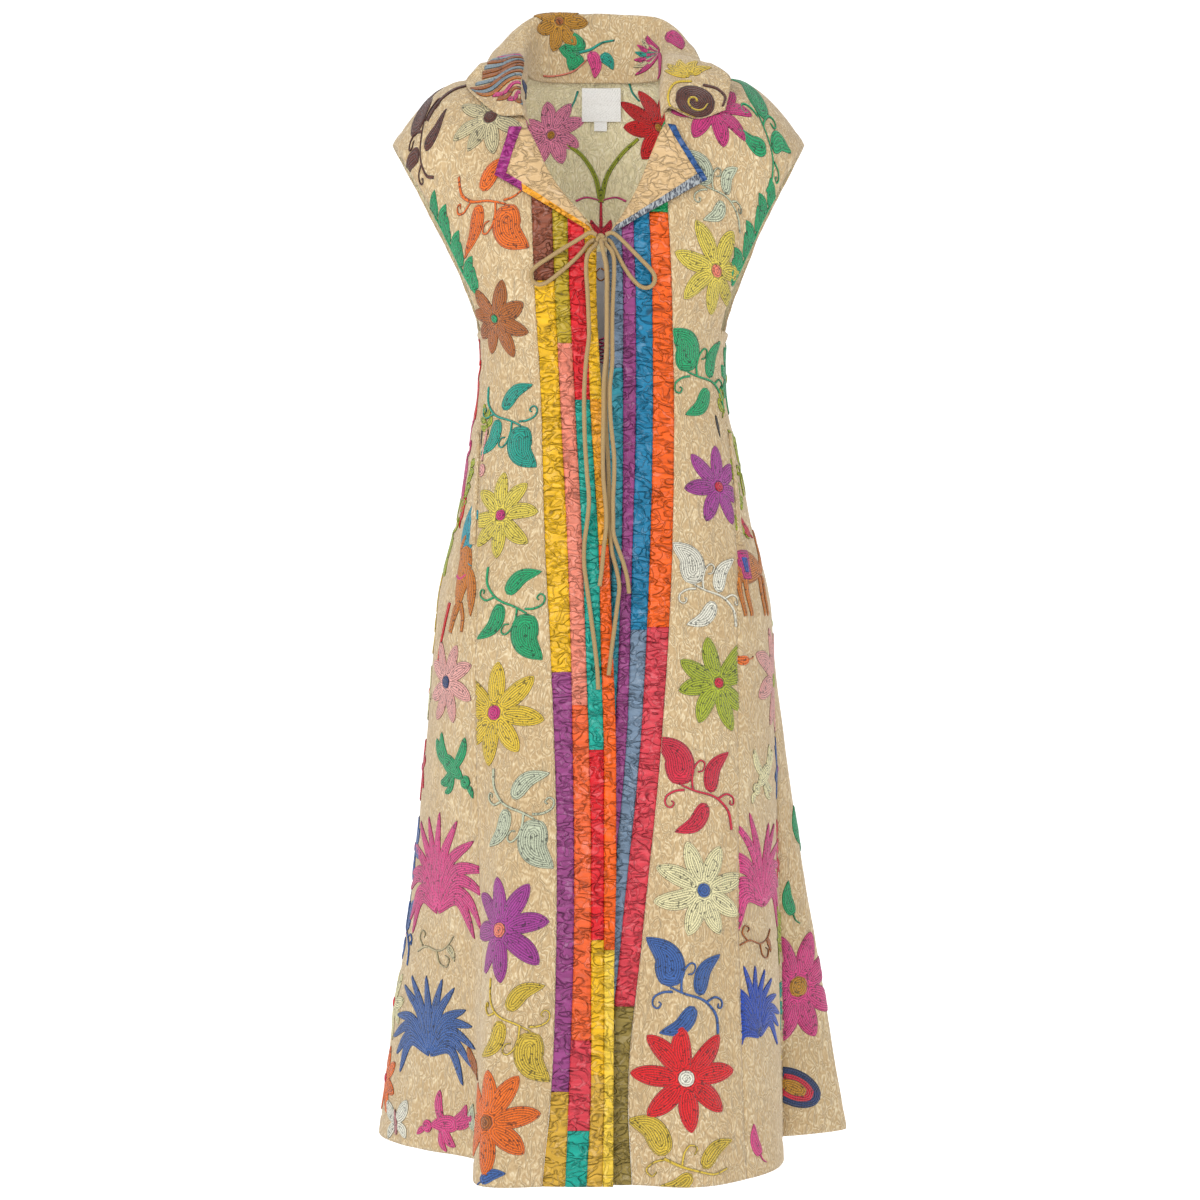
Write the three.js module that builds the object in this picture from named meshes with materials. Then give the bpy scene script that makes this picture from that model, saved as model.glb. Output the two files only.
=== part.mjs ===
// A long sleeveless embroidered vest, held open and hollow as it is worn, tied at the chest.
// Millimetres, +Z up, front towards -Y. Heights in the tables are measured up from the hem;
// the whole group is then lowered so that the origin lies between the shoulders beside the neck.
import * as THREE from 'three';

// Driving sizes of the garment
const HELD_HEIGHT = 1190;
const UNDERARM = 905;
const TIP_HEIGHT = 1118;
const SHOULDER_SIDE = 1203;
const NAPE_HEIGHT = 1209;
const NECK_LEFT = -86;
const NECK_RIGHT = 74;
const TIP_X = 235;
const UNDERARM_X = 133;
const RIGHT_SCALE = 0.975;
const SHOULDER_SEAM_Y = 8;
const SHOULDER_ROUND = 90;
const SQUARENESS = 2.5;
const CLOTH = 2;
const SEAM_GAP = 0.4;

// Half widths and depths of the rings, at heights above the hem, and the front seams' angles
const RINGS = [
  { h: 0, left: 253, right: 282, front: 237, back: 198, seamLeft: -36, seamRight: 37 },
  { h: 130, left: 236, right: 260, front: 218, back: 186, seamLeft: -38, seamRight: 39 },
  { h: 266, left: 216, right: 237, front: 197, back: 172, seamLeft: -43, seamRight: 42 },
  { h: 400, left: 201, right: 217, front: 175, back: 157, seamLeft: -46, seamRight: 47 },
  { h: 500, left: 192, right: 202, front: 158, back: 143, seamLeft: -48, seamRight: 51 },
  { h: 605, left: 181, right: 188, front: 140, back: 128, seamLeft: -51, seamRight: 55.5 },
  { h: 700, left: 159, right: 165, front: 122, back: 112, seamLeft: -59, seamRight: 64 },
  { h: 780, left: 147, right: 150, front: 108, back: 100, seamLeft: -65.5, seamRight: 70.5 },
  { h: 848, left: 137, right: 139, front: 100, back: 95, seamLeft: -72, seamRight: 74.5 },
  { h: 905, left: 139, right: 141, front: 117, back: 108, seamLeft: -71, seamRight: 70 },
  { h: 960, left: 170, right: 168, front: 125, back: 115, seamLeft: -71, seamRight: 70 },
  { h: 1060, left: 225, right: 221, front: 109, back: 118, seamLeft: -71, seamRight: 70 },
  { h: 1120, left: 265, right: 259, front: 98, back: 110, seamLeft: -71, seamRight: 70 },
  { h: 1210, left: 310, right: 302, front: 74, back: 92, seamLeft: -71, seamRight: 70 },
];

// Folds of the skirt: degrees round from the front centre, plus is the right side;
// each one fades out upwards and is gone at its start height
const FOLDS = [
  { at: -26, before: 13, after: 14, depth: 15, start: 560 },
  { at: -50, before: 48, after: 24, depth: -88, start: 560 },
  { at: 22, before: 14, after: 16, depth: 9, start: 560 },
  { at: 86, before: 64, after: 12, depth: -90, start: 600 },
  { at: 106, before: 9, after: 14, depth: 8, start: 500 },
  { at: 134, before: 15, after: 16, depth: -40, start: 640 },
  { at: 168, before: 16, after: 18, depth: -34, start: 600 },
  { at: -154, before: 15, after: 19, depth: -42, start: 640 },
  { at: -120, before: 14, after: 12, depth: -26, start: 520 },
];

// Edges of the patchwork strips down the front, as x at heights; the first is the outer edge
const LEFT_STRIP_EDGES = [
  { h: 0, outer: -61, second: -37, third: -15, fourth: 1, inner: 12.5 },
  { h: 107, outer: -51, second: -33, third: -10.5, fourth: 3, inner: 13 },
  { h: 229, outer: -47, second: -29, third: -10.5, fourth: 3, inner: 14 },
  { h: 331, outer: -46.5, second: -28.5, third: -10.5, fourth: 3, inner: 16 },
  { h: 435, outer: -49, second: -30, third: -12.5, fourth: 3, inner: 16 },
  { h: 541, outer: -53.5, second: -32, third: -16, fourth: 0, inner: 13 },
  { h: 670, outer: -60.5, second: -36.5, third: -20.5, fourth: -3, inner: 8 },
  { h: 823, outer: -65.5, second: -44.5, third: -28.5, fourth: -12, inner: 1 },
  { h: 950, outer: -72.5, second: -50.5, third: -34.5, fourth: -16, inner: -5 },
  { h: 1033, outer: -75, second: -53, third: -36.5, fourth: -19, inner: -4 },
  { h: 1115, outer: -79, second: -54, third: -37, fourth: -20, inner: -4 },
];
const RIGHT_STRIP_EDGES = [
  { h: 0, outer: 32, second: 11, third: -5, fourth: -18, inner: -30 },
  { h: 88, outer: 28, second: 7, third: -9, fourth: -22, inner: -34 },
  { h: 249, outer: 43, second: 21, third: 6, fourth: -8, inner: -20 },
  { h: 446, outer: 63.5, second: 41.5, third: 26.5, fourth: 13, inner: 0 },
  { h: 648, outer: 76.5, second: 52.5, third: 33.5, fourth: 22, inner: 11.5 },
  { h: 823, outer: 79.5, second: 56.5, third: 38, fourth: 24, inner: 6.5 },
  { h: 930, outer: 77, second: 55.5, third: 37.5, fourth: 24, inner: 7.5 },
  { h: 1033, outer: 72.5, second: 52, third: 35, fourth: 22, inner: 5 },
  { h: 1130, outer: 70, second: 51, third: 35, fourth: 22, inner: 5 },
];
const STRIP_COLUMNS = ['outer', 'second', 'third', 'fourth', 'inner'];

// Roll lines, along which the fronts turn out into lapels: height at x
const LEFT_ROLL = [
  { h: -80, top: 1121 }, { h: -63, top: 1078 }, { h: -39, top: 1043 }, { h: -14, top: 1013 },
  { h: -4, top: 998 },
];
const RIGHT_ROLL = [
  { h: 5, top: 996 }, { h: 15, top: 1006 }, { h: 35, top: 1043 }, { h: 53, top: 1084 },
  { h: 70, top: 1128 },
];

// Neck edge of each front above the strips: x at heights
const LEFT_NECK_EDGE = [
  { h: 1115, x: -79 }, { h: 1163, x: -88 }, { h: SHOULDER_SIDE, x: NECK_LEFT },
];
const RIGHT_NECK_EDGE = [
  { h: 1130, x: 70 }, { h: 1167, x: 68 }, { h: SHOULDER_SIDE, x: NECK_RIGHT },
];

// The patchwork: colour and lower end of each piece, from the top down, strip by strip
const LEFT_PATCHES = {
  outer: [['brown', 950], ['yellow', 528], ['purple', 95], ['gold', 0]],
  second: [['mustard', 884], ['salmon', 493], ['coral', 147], ['rose', 56], ['teal', 0]],
  third: [['red', 823], ['teal', 446], ['red', 249], ['yellow', 112], ['gold', 0]],
  fourth: [['yellow', 823], ['amber', 664], ['orange', 239], ['straw', 0]],
};
const RIGHT_PATCHES = {
  outer: [['green', 1025], ['orange', 576], ['rose', 180], ['olive', 0]],
  second: [['rose', 1030], ['blue', 573], ['slate', 0]],
  third: [['purple', 0]],
  fourth: [['slate', 858], ['lagoon', 0]],
};

const COLOURS = {
  ground: '#cdb38a', brown: '#8a4a32', yellow: '#e3b31c', purple: '#86408f', gold: '#c39a3c',
  mustard: '#b59a1f', salmon: '#e58d7c', coral: '#e8632c', rose: '#cf3f4a', teal: '#0f9c8b',
  red: '#cf1f26', amber: '#eda023', orange: '#f06a1a', straw: '#e8c94f', green: '#1f9a5e',
  olive: '#8a7a3c', blue: '#1f7fae', slate: '#6f8296', lagoon: '#2f8793', magenta: '#b02a6e',
  facing: '#d9b98c', white: '#f2f2f0', cord: '#a08a5a',
};

const finish = (colour, roughness = 0.8) =>
  new THREE.MeshStandardMaterial({ color: COLOURS[colour], roughness, metalness: 0 });

const garment = new THREE.Group();
garment.position.z = -HELD_HEIGHT;

const addPiece = (name, geometry, material) => {
  const piece = new THREE.Mesh(geometry, material);
  piece.name = name;
  garment.add(piece);
};

// Smooth reading of one named column of a table whose rows rise in h
const read = (rows, column, at) => {
  const last = rows.length - 1;
  if (at <= rows[0].h) return rows[0][column];
  if (at >= rows[last].h) return rows[last][column];
  let i = 0;
  while (at > rows[i + 1].h) i += 1;
  const slope = (a, b) => (rows[b][column] - rows[a][column]) / (rows[b].h - rows[a].h);
  const span = rows[i + 1].h - rows[i].h;
  const here = slope(i, i + 1);
  const before = i > 0 ? slope(i - 1, i) : here;
  const after = i + 2 <= last ? slope(i + 1, i + 2) : here;
  const start = before * here > 0 ? (before + here) / 2 : 0;
  const end = after * here > 0 ? (after + here) / 2 : 0;
  const t = (at - rows[i].h) / span;
  const t2 = t * t;
  const t3 = t2 * t;
  return rows[i][column] * (2 * t3 - 3 * t2 + 1) + rows[i + 1][column] * (3 * t2 - 2 * t3)
    + (start * (t3 - 2 * t2 + t) + end * (t3 - t2)) * span;
};

const mix = (a, b, t) => a + (b - a) * t;
const clamp01 = (t) => Math.min(1, Math.max(0, t));
const smoothStep = (t) => clamp01(t) ** 2 * (3 - 2 * clamp01(t));

// The right front lies behind the left one where they overlap, below the waist
const OVERLAP = { depth: 8, top: 770, full: 640, innerX: 40, outerX: 92 };
const overlapAt = (x, h) => OVERLAP.depth
  * smoothStep((OVERLAP.top - h) / (OVERLAP.top - OVERLAP.full))
  * smoothStep((OVERLAP.outerX - x) / (OVERLAP.outerX - OVERLAP.innerX));

// A point of the ring at a height, by its angle from the front centre; behind is true for
// the right front
const ringPoint = (degrees, h, behind = false) => {
  const angle = THREE.MathUtils.degToRad(degrees);
  const across = Math.sin(angle);
  const along = -Math.cos(angle);
  const width = read(RINGS, across < 0 ? 'left' : 'right', h);
  const depth = read(RINGS, along < 0 ? 'front' : 'back', h);
  let radius = (Math.abs(across / width) ** SQUARENESS
    + Math.abs(along / depth) ** SQUARENESS) ** (-1 / SQUARENESS);
  for (const fold of FOLDS) {
    const away = THREE.MathUtils.euclideanModulo(degrees - fold.at + 180, 360) - 180;
    const reach = away < 0 ? fold.before : fold.after;
    const share = clamp01(1 - Math.abs(away) / reach);
    const drop = clamp01((fold.start - h) / fold.start) ** 1.3;
    radius += fold.depth * drop * (0.5 - 0.5 * Math.cos(Math.PI * share));
  }
  if (behind) radius -= overlapAt(radius * across, h);
  return new THREE.Vector3(radius * across, radius * along, h);
};

// Shoulders and chest above the underarm: depth of the cloth at x and height
const shoulderScale = (x) => (x > 0 ? RIGHT_SCALE : 1);
const ridgeHeight = (x) => {
  const reach = Math.abs(x) / shoulderScale(x);
  const neck = Math.abs(x < 0 ? NECK_LEFT : NECK_RIGHT) / shoulderScale(x);
  if (reach < neck) return SHOULDER_SIDE + 44 * (1 - (reach / neck) ** 2);
  const slope = 12 * clamp01((reach - neck) / (155 - neck));
  const cap = 73 * Math.max(0, (reach - 155) / 80) ** 1.7;
  return SHOULDER_SIDE - slope - cap;
};
const chestDepth = (x, h, sense) => {
  const width = read(RINGS, x < 0 ? 'left' : 'right', h);
  const depth = read(RINGS, sense < 0 ? 'front' : 'back', h);
  const flat = Math.max(0, 1 - Math.abs(x / width) ** SQUARENESS) ** (1 / SQUARENESS);
  return sense * depth * flat;
};
const upperPoint = (x, h, sense) => {
  const fall = clamp01((ridgeHeight(x) - h) / SHOULDER_ROUND);
  const round = Math.sqrt(Math.max(0, 1 - (1 - fall) ** 2));
  const blend = smoothStep((h - UNDERARM) / 60);
  const seamY = SHOULDER_SEAM_Y * blend;
  return new THREE.Vector3(x, mix(seamY, chestDepth(x, h, sense), round), h);
};
// A spot is a point of the cloth's middle and the direction that points out of the garment there
const spotFrom = (at, u, v, stepU, stepV) => {
  const alongU = at(u + stepU, v).sub(at(u - stepU, v));
  const alongV = at(u, v + stepV).sub(at(u, v - stepV));
  return { point: at(u, v), normal: alongU.cross(alongV).normalize() };
};
const ringSpot = (degrees, h, behind = false) =>
  spotFrom((angle, level) => ringPoint(angle, level, behind), degrees, h, 0.6, 3);
const chestSpot = (x, h, sense) => {
  const spot = spotFrom((across, level) => upperPoint(across, level, sense), x, h, 1, -1);
  return { point: spot.point, normal: spot.normal.multiplyScalar(sense) };
};
const armholeX = (h, side) => {
  const rise = clamp01((h - UNDERARM) / (TIP_HEIGHT - UNDERARM));
  const reach = UNDERARM_X + (TIP_X - UNDERARM_X) * rise ** 1.3;
  return side * reach * (side > 0 ? RIGHT_SCALE + (1 - RIGHT_SCALE) * (1 - rise) : 1);
};

// A wall of cloth on a grid of spots: both skins, moved along the normals, and the four rims.
// forward says that the normals follow the right-hand turn from columns to rows.
const wall = (grid, { forward = true, low = -CLOTH / 2, high = CLOTH / 2 } = {}) => {
  const rows = grid.length;
  const columns = grid[0].length;
  const positions = [];
  for (const offset of [high, low]) {
    grid.forEach((line) => line.forEach(({ point, normal }) => {
      const moved = point.clone().addScaledVector(normal, offset);
      positions.push(moved.x, moved.y, moved.z);
    }));
  }
  const skin = rows * columns;
  const at = (i, j, layer) => layer * skin + i * columns + j;
  const triangles = [];
  const quad = (a, b, c, d) => {
    if (forward) triangles.push(a, b, c, a, c, d);
    else triangles.push(a, c, b, a, d, c);
  };
  for (let i = 0; i < rows - 1; i += 1) {
    for (let j = 0; j < columns - 1; j += 1) {
      quad(at(i, j, 0), at(i, j + 1, 0), at(i + 1, j + 1, 0), at(i + 1, j, 0));
      quad(at(i, j, 1), at(i + 1, j, 1), at(i + 1, j + 1, 1), at(i, j + 1, 1));
    }
    quad(at(i, 0, 0), at(i + 1, 0, 0), at(i + 1, 0, 1), at(i, 0, 1));
    quad(at(i + 1, columns - 1, 0), at(i, columns - 1, 0), at(i, columns - 1, 1),
      at(i + 1, columns - 1, 1));
  }
  for (let j = 0; j < columns - 1; j += 1) {
    quad(at(0, j + 1, 0), at(0, j, 0), at(0, j, 1), at(0, j + 1, 1));
    quad(at(rows - 1, j, 0), at(rows - 1, j + 1, 0), at(rows - 1, j + 1, 1),
      at(rows - 1, j, 1));
  }
  const geometry = new THREE.BufferGeometry();
  geometry.setAttribute('position', new THREE.Float32BufferAttribute(positions, 3));
  geometry.setIndex(triangles);
  geometry.computeVertexNormals();
  return geometry;
};

// The heights of the rows below the underarm, shared by all panels of the skirt
const SKIRT_ROWS = [];
for (let h = UNDERARM; h > 600; h -= 56) SKIRT_ROWS.push(h);
for (let h = 560; h > 0; h -= 70) SKIRT_ROWS.push(h);
SKIRT_ROWS.push(0);

// Where the front reaches an x, as an angle; steps outward from the centre until it does
const ANGLE_STEP = 0.5;
const angleAtX = (x, h, behind) => {
  const side = Math.sign(x) || 1;
  let degrees = 0;
  let reached = 0;
  while (degrees < 88) {
    const next = Math.abs(ringPoint(side * (degrees + ANGLE_STEP), h, behind).x);
    if (next >= Math.abs(x)) {
      return side * (degrees + ANGLE_STEP * (Math.abs(x) - reached) / (next - reached));
    }
    degrees += ANGLE_STEP;
    reached = next;
  }
  return side * degrees;
};
const SIDE_SEAM_BACK = { left: -95, right: 89 };
const seamAngle = (side, h) => read(RINGS, side < 0 ? 'seamLeft' : 'seamRight', h);

// Spots at even distances along a ring from one angle to another, a seam gap in from both
const FINE_STEPS = 70;
const ringLine = (from, to, h, count, behind) => {
  const points = [];
  for (let k = 0; k <= FINE_STEPS; k += 1) {
    points.push(ringPoint(mix(from, to, k / FINE_STEPS), h, behind));
  }
  const reach = [0];
  for (let k = 1; k <= FINE_STEPS; k += 1) {
    reach.push(reach[k - 1] + points[k].distanceTo(points[k - 1]));
  }
  const total = reach[FINE_STEPS];
  const line = [];
  for (let j = 0; j <= count; j += 1) {
    const target = mix(SEAM_GAP / 2, total - SEAM_GAP / 2, j / count);
    let k = 1;
    while (k < FINE_STEPS && reach[k] < target) k += 1;
    const share = k - 1 + (target - reach[k - 1]) / (reach[k] - reach[k - 1]);
    line.push(ringSpot(mix(from, to, share / FINE_STEPS), h, behind));
  }
  return line;
};

const stripEdges = (side) => (side < 0 ? LEFT_STRIP_EDGES : RIGHT_STRIP_EDGES);
const neckEdge = (side) => (side < 0 ? LEFT_NECK_EDGE : RIGHT_NECK_EDGE);
// Rows from the shoulder seam to the underarm, as shares of that drop, closest over the shoulder
const SHOULDER_DROPS = [0, 0.023, 0.088, 0.187, 0.3, 0.5, 0.74, 1];
const SHOULDER_GAP = 0.2;
const shoulderSpot = (x, sense) => ({
  point: new THREE.Vector3(x, SHOULDER_SEAM_Y + sense * SHOULDER_GAP, ridgeHeight(x)),
  normal: new THREE.Vector3(0, 0, 1),
});

// A front panel: from its outer strip to the armhole above, and to the side seam below
const FRONT_COLUMNS = 9;
const frontPanel = (side) => {
  const grid = [];
  const edges = stripEdges(side);
  const top = SHOULDER_SIDE - 0.3;
  for (const drop of SHOULDER_DROPS) {
    const rise = 1 - drop;
    const line = [];
    for (let j = 0; j <= FRONT_COLUMNS; j += 1) {
      const across = j / FRONT_COLUMNS;
      const innerH = mix(UNDERARM, top, rise);
      const inner = (innerH > neckEdge(side)[0].h
        ? read(neckEdge(side), 'x', innerH) : read(edges, 'outer', innerH)) + side * 0.3;
      const outer = armholeX(mix(UNDERARM, TIP_HEIGHT, rise), side);
      const x = mix(inner, outer, across);
      const topX = mix(read(neckEdge(side), 'x', top), armholeX(TIP_HEIGHT, side), across);
      const ridge = Math.min(ridgeHeight(topX), top);
      const h = mix(UNDERARM, ridge, rise);
      line.push(drop === 0 ? shoulderSpot(x, -1) : chestSpot(x, h, -1));
    }
    grid.push(line);
  }
  for (const h of SKIRT_ROWS.slice(1)) {
    const from = angleAtX(read(edges, 'outer', h), h, side > 0);
    grid.push(ringLine(from, seamAngle(side, h), h, FRONT_COLUMNS, side > 0));
  }
  return wall(grid, { forward: side < 0 });
};
addPiece('front_panel_left', frontPanel(-1), finish('ground', 0.9));
addPiece('front_panel_right', frontPanel(1), finish('ground', 0.9));

// A side panel: under the arm, between the front seam and the back seam
const SIDE_COLUMNS = { left: 12, right: 9 };
const sidePanel = (side) => {
  const name = side < 0 ? 'left' : 'right';
  const rows = SKIRT_ROWS.map((h, i) => (i === 0 ? UNDERARM - 4 : h));
  const grid = rows.map((h) => ringLine(
    seamAngle(side, h), SIDE_SEAM_BACK[name], h, SIDE_COLUMNS[name], side > 0));
  return wall(grid, { forward: side < 0 });
};
addPiece('side_panel_left', sidePanel(-1), finish('ground', 0.9));
addPiece('side_panel_right', sidePanel(1), finish('ground', 0.9));

// The back: one panel from seam to seam, with its armholes, shoulder seams and neckline
const BACK_COLUMNS = 40;
const neckline = (x) => {
  const neck = x < 0 ? NECK_LEFT : NECK_RIGHT;
  return NAPE_HEIGHT - (NAPE_HEIGHT - SHOULDER_SIDE) * (x / neck) ** 2;
};
const backPanel = () => {
  const grid = [];
  const start = ringPoint(SIDE_SEAM_BACK.left, UNDERARM).x;
  const end = ringPoint(SIDE_SEAM_BACK.right, UNDERARM).x;
  for (const drop of SHOULDER_DROPS) {
    const rise = 1 - drop;
    const level = mix(UNDERARM, TIP_HEIGHT, rise);
    const line = [];
    for (let j = 0; j <= BACK_COLUMNS; j += 1) {
      const across = mix(-1, 1, j / BACK_COLUMNS);
      const side = across < 0 ? -1 : 1;
      const low = side < 0 ? -start : end;
      const grow = (Math.abs(armholeX(level, side)) - UNDERARM_X)
        / (Math.abs(armholeX(TIP_HEIGHT, side)) - UNDERARM_X);
      const reach = mix(low - 1.5, Math.abs(armholeX(TIP_HEIGHT, side)), grow);
      const x = across * reach;
      const topX = across * Math.abs(armholeX(TIP_HEIGHT, side));
      const overNeck = topX > NECK_LEFT && topX < NECK_RIGHT;
      const ridge = overNeck ? neckline(topX) : ridgeHeight(topX);
      line.push(drop === 0 && !overNeck ? shoulderSpot(x, 1)
        : chestSpot(x, mix(UNDERARM, ridge, rise), 1));
    }
    grid.push(line);
  }
  for (const h of SKIRT_ROWS.slice(1)) {
    grid.push(ringLine(SIDE_SEAM_BACK.left, SIDE_SEAM_BACK.right - 360, h, BACK_COLUMNS));
  }
  return wall(grid, { forward: true });
};
addPiece('back_panel', backPanel(), finish('ground', 0.9));

// The patchwork strips, each pieced from lengths of different cloth
const PATCH_WALL = { low: -1.1, high: 1.4 };
const ROLL_START = 1080;
const NECK_TOP = SHOULDER_SIDE - 0.3;
const LEVELS = [...SHOULDER_DROPS.slice(0, -1).map((drop) => mix(NECK_TOP, UNDERARM, drop)),
  ...SKIRT_ROWS];
const stripX = (side, strip, share, h) => {
  const edges = stripEdges(side);
  const inner = STRIP_COLUMNS[STRIP_COLUMNS.indexOf(strip) + 1];
  const from = read(edges, strip, h) - side * 0.3;
  return mix(from, read(edges, inner, h) + side * (inner === 'inner' ? 0 : 0.1), share);
};
const stripSpotAtLevel = (side, strip, share, h) => {
  const x = stripX(side, strip, share, h);
  if (h >= UNDERARM) return chestSpot(x, h, -1);
  return ringSpot(angleAtX(x, h, side > 0), h, side > 0);
};
// Between two levels all strips follow the same straight lines, so that their seams stay even
const stripSpot = (side, strip, share, h) => {
  const k = Math.max(1, LEVELS.findIndex((level) => level <= h));
  const above = stripSpotAtLevel(side, strip, share, LEVELS[k - 1]);
  const below = stripSpotAtLevel(side, strip, share, LEVELS[k]);
  const t = (LEVELS[k - 1] - h) / (LEVELS[k - 1] - LEVELS[k]);
  return {
    point: above.point.lerp(below.point, t),
    normal: above.normal.lerp(below.normal, t).normalize(),
  };
};
const rollHeight = (x, side) => read(side < 0 ? LEFT_ROLL : RIGHT_ROLL, 'top', x);
const patch = (side, strip, top, bottom) => {
  const shares = [0, 0.5, 1];
  const summits = shares.map((share) => (top === null
    ? rollHeight(stripX(side, strip, share, ROLL_START), side) : top - 0.2));
  const floor = bottom === 0 ? 0 : bottom + 0.2;
  const between = LEVELS.filter((level) => level < Math.min(...summits) - 8 && level > floor + 8);
  const grid = [summits, ...between.map((level) => shares.map(() => level)),
    shares.map(() => floor)];
  const spots = grid.map((line) => line.map((h, j) => stripSpot(side, strip, shares[j], h)));
  return wall(spots, { forward: side > 0, ...PATCH_WALL });
};
for (const [side, sideName, patches] of [[-1, 'left', LEFT_PATCHES], [1, 'right', RIGHT_PATCHES]]) {
  STRIP_COLUMNS.slice(0, 4).forEach((strip, number) => {
    let top = null;
    patches[strip].forEach(([colour, bottom], order) => {
      const name = `strip_${sideName}_${number + 1}_${order + 1}_${colour}`;
      addPiece(name, patch(side, strip, top, bottom), finish(colour, 0.45));
      top = bottom;
    });
  });
}

// Distance outside the shoulders and chest, and a push that keeps a piece clear of them
const outsideBy = (point) => {
  const sense = point.y < SHOULDER_SEAM_Y ? -1 : 1;
  const depth = Math.abs(chestDepth(point.x, point.z, sense) - SHOULDER_SEAM_Y);
  const below = clamp01(1 - (ridgeHeight(point.x) - point.z) / SHOULDER_ROUND);
  const above = Math.max(0, (point.z - ridgeHeight(point.x)) / SHOULDER_ROUND);
  return Math.hypot((point.y - SHOULDER_SEAM_Y) / depth, below + above) - 1;
};
const keepClear = (point, clearance) => {
  const moved = point.clone();
  for (let pass = 0; pass < 4; pass += 1) {
    const value = outsideBy(moved);
    const slope = new THREE.Vector3();
    for (const axis of ['x', 'y', 'z']) {
      const probe = moved.clone();
      probe[axis] += 0.5;
      slope[axis] = (outsideBy(probe) - value) / 0.5;
    }
    const distance = value / slope.length();
    if (distance >= clearance) break;
    moved.addScaledVector(slope.normalize(), clearance - distance);
  }
  return moved;
};

// Lapels: the turned-out corners, with a strip along their two free edges.
// Corners as x and height: roll top, outer top, outer corner, and the break at the tie.
const LAPELS = {
  left: {
    rollTop: [-80, 1117], top: [-97, 1118], corner: [-114, 1066], end: [-4.5, 997.5],
    sideTrim: 'magenta', lowerTrim: 'yellow',
  },
  right: {
    rollTop: [69, 1122], top: [77, 1119], corner: [114, 1061], end: [7, 997.5],
    sideTrim: 'blue', lowerTrim: 'slate',
  },
};
const LAPEL_WALL = { low: 0, high: 1.8 };
const LAPEL_TRIM = { side: 0.84, lower: 0.9 };
const lapelPoint = (lapel, side, down, across) => {
  const roll = [0, 1].map((k) => mix(lapel.rollTop[k], lapel.end[k], down));
  roll[1] = mix(roll[1], rollHeight(roll[0], side), Math.sin(Math.PI * down));
  const outer = [0, 1].map((k) => mix(lapel.top[k], lapel.corner[k], down));
  const x = mix(roll[0], outer[0], across);
  const h = mix(roll[1], outer[1], across);
  const lift = 1.9 + 5 * Math.sin(Math.PI * Math.min(1, across * 0.75)) * (1 - 0.5 * down);
  const point = upperPoint(x, h, -1);
  return point.add(new THREE.Vector3(side * 0.25, -1, 0.12).multiplyScalar(lift));
};
const lapelPiece = (lapel, side, downRange, acrossRange, steps) => {
  const grid = [];
  for (let i = 0; i <= steps[0]; i += 1) {
    const line = [];
    for (let j = 0; j <= steps[1]; j += 1) {
      const spot = spotFrom((down, across) => lapelPoint(lapel, side, down, across),
        mix(...downRange, i / steps[0]), mix(...acrossRange, j / steps[1]), 0.02, 0.02);
      spot.normal.multiplyScalar(side);
      line.push(spot);
    }
    grid.push(line);
  }
  return wall(grid, { forward: side < 0, ...LAPEL_WALL });
};
for (const [side, sideName] of [[-1, 'left'], [1, 'right']]) {
  const lapel = LAPELS[sideName];
  const gap = 0.006;
  const inner = [0, LAPEL_TRIM.side - gap];
  const upper = [0, LAPEL_TRIM.lower - gap];
  addPiece(`lapel_${sideName}`, lapelPiece(lapel, side, upper, inner, [6, 5]),
    finish('facing', 0.7));
  addPiece(`lapel_${sideName}_side_trim_${lapel.sideTrim}`,
    lapelPiece(lapel, side, upper, [LAPEL_TRIM.side + gap, 1], [6, 1]),
    finish(lapel.sideTrim, 0.5));
  addPiece(`lapel_${sideName}_lower_trim_${lapel.lowerTrim}`,
    lapelPiece(lapel, side, [LAPEL_TRIM.lower + gap, 1], [0.03, 1], [1, 8]),
    finish(lapel.lowerTrim, 0.5));
}

// The collar: it stands up at the nape and rolls over into a wing towards each front end.
// Offsets from the neck seam to the roll and to the free edge; along runs from the nape, 0,
// to the front end, 1. sag lowers the middle of the wing.
const COLLAR = {
  left: [
    { h: 0, rollX: 0, rollY: 3, rollH: 76, edgeX: 0, edgeY: 16, edgeH: 67, sag: 2 },
    { h: 0.25, rollX: -15, rollY: -2, rollH: 70, edgeX: -46, edgeY: 0, edgeH: 42, sag: 6 },
    { h: 0.5, rollX: -2, rollY: 2, rollH: 17, edgeX: -47, edgeY: -4, edgeH: 6, sag: 4 },
    { h: 0.75, rollX: -3, rollY: -5, rollH: 8, edgeX: -64, edgeY: 28, edgeH: 14, sag: 2 },
    { h: 1, rollX: -4, rollY: -6, rollH: 4, edgeX: -56, edgeY: 14, edgeH: 28, sag: -10 },
  ],
  right: [
    { h: 0, rollX: 0, rollY: 3, rollH: 76, edgeX: 0, edgeY: 16, edgeH: 67, sag: 2 },
    { h: 0.25, rollX: 18, rollY: -2, rollH: 66, edgeX: 42, edgeY: 0, edgeH: 44, sag: 6 },
    { h: 0.5, rollX: -1, rollY: 2, rollH: 16, edgeX: 44, edgeY: -4, edgeH: 5, sag: 4 },
    { h: 0.75, rollX: 4, rollY: -5, rollH: 8, edgeX: 77, edgeY: 12, edgeH: 8, sag: 2 },
    { h: 1, rollX: 5, rollY: -6, rollH: 4, edgeX: 68, edgeY: 6, edgeH: 4, sag: -12 },
  ],
};
const COLLAR_FRONT_END = { left: 1127, right: 1136 };
const COLLAR_SEAT = 1.5;
const COLLAR_INSET = 0.98;
const COLLAR_STEPS = 15;
const COLLAR_CROSS = 13;
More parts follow.
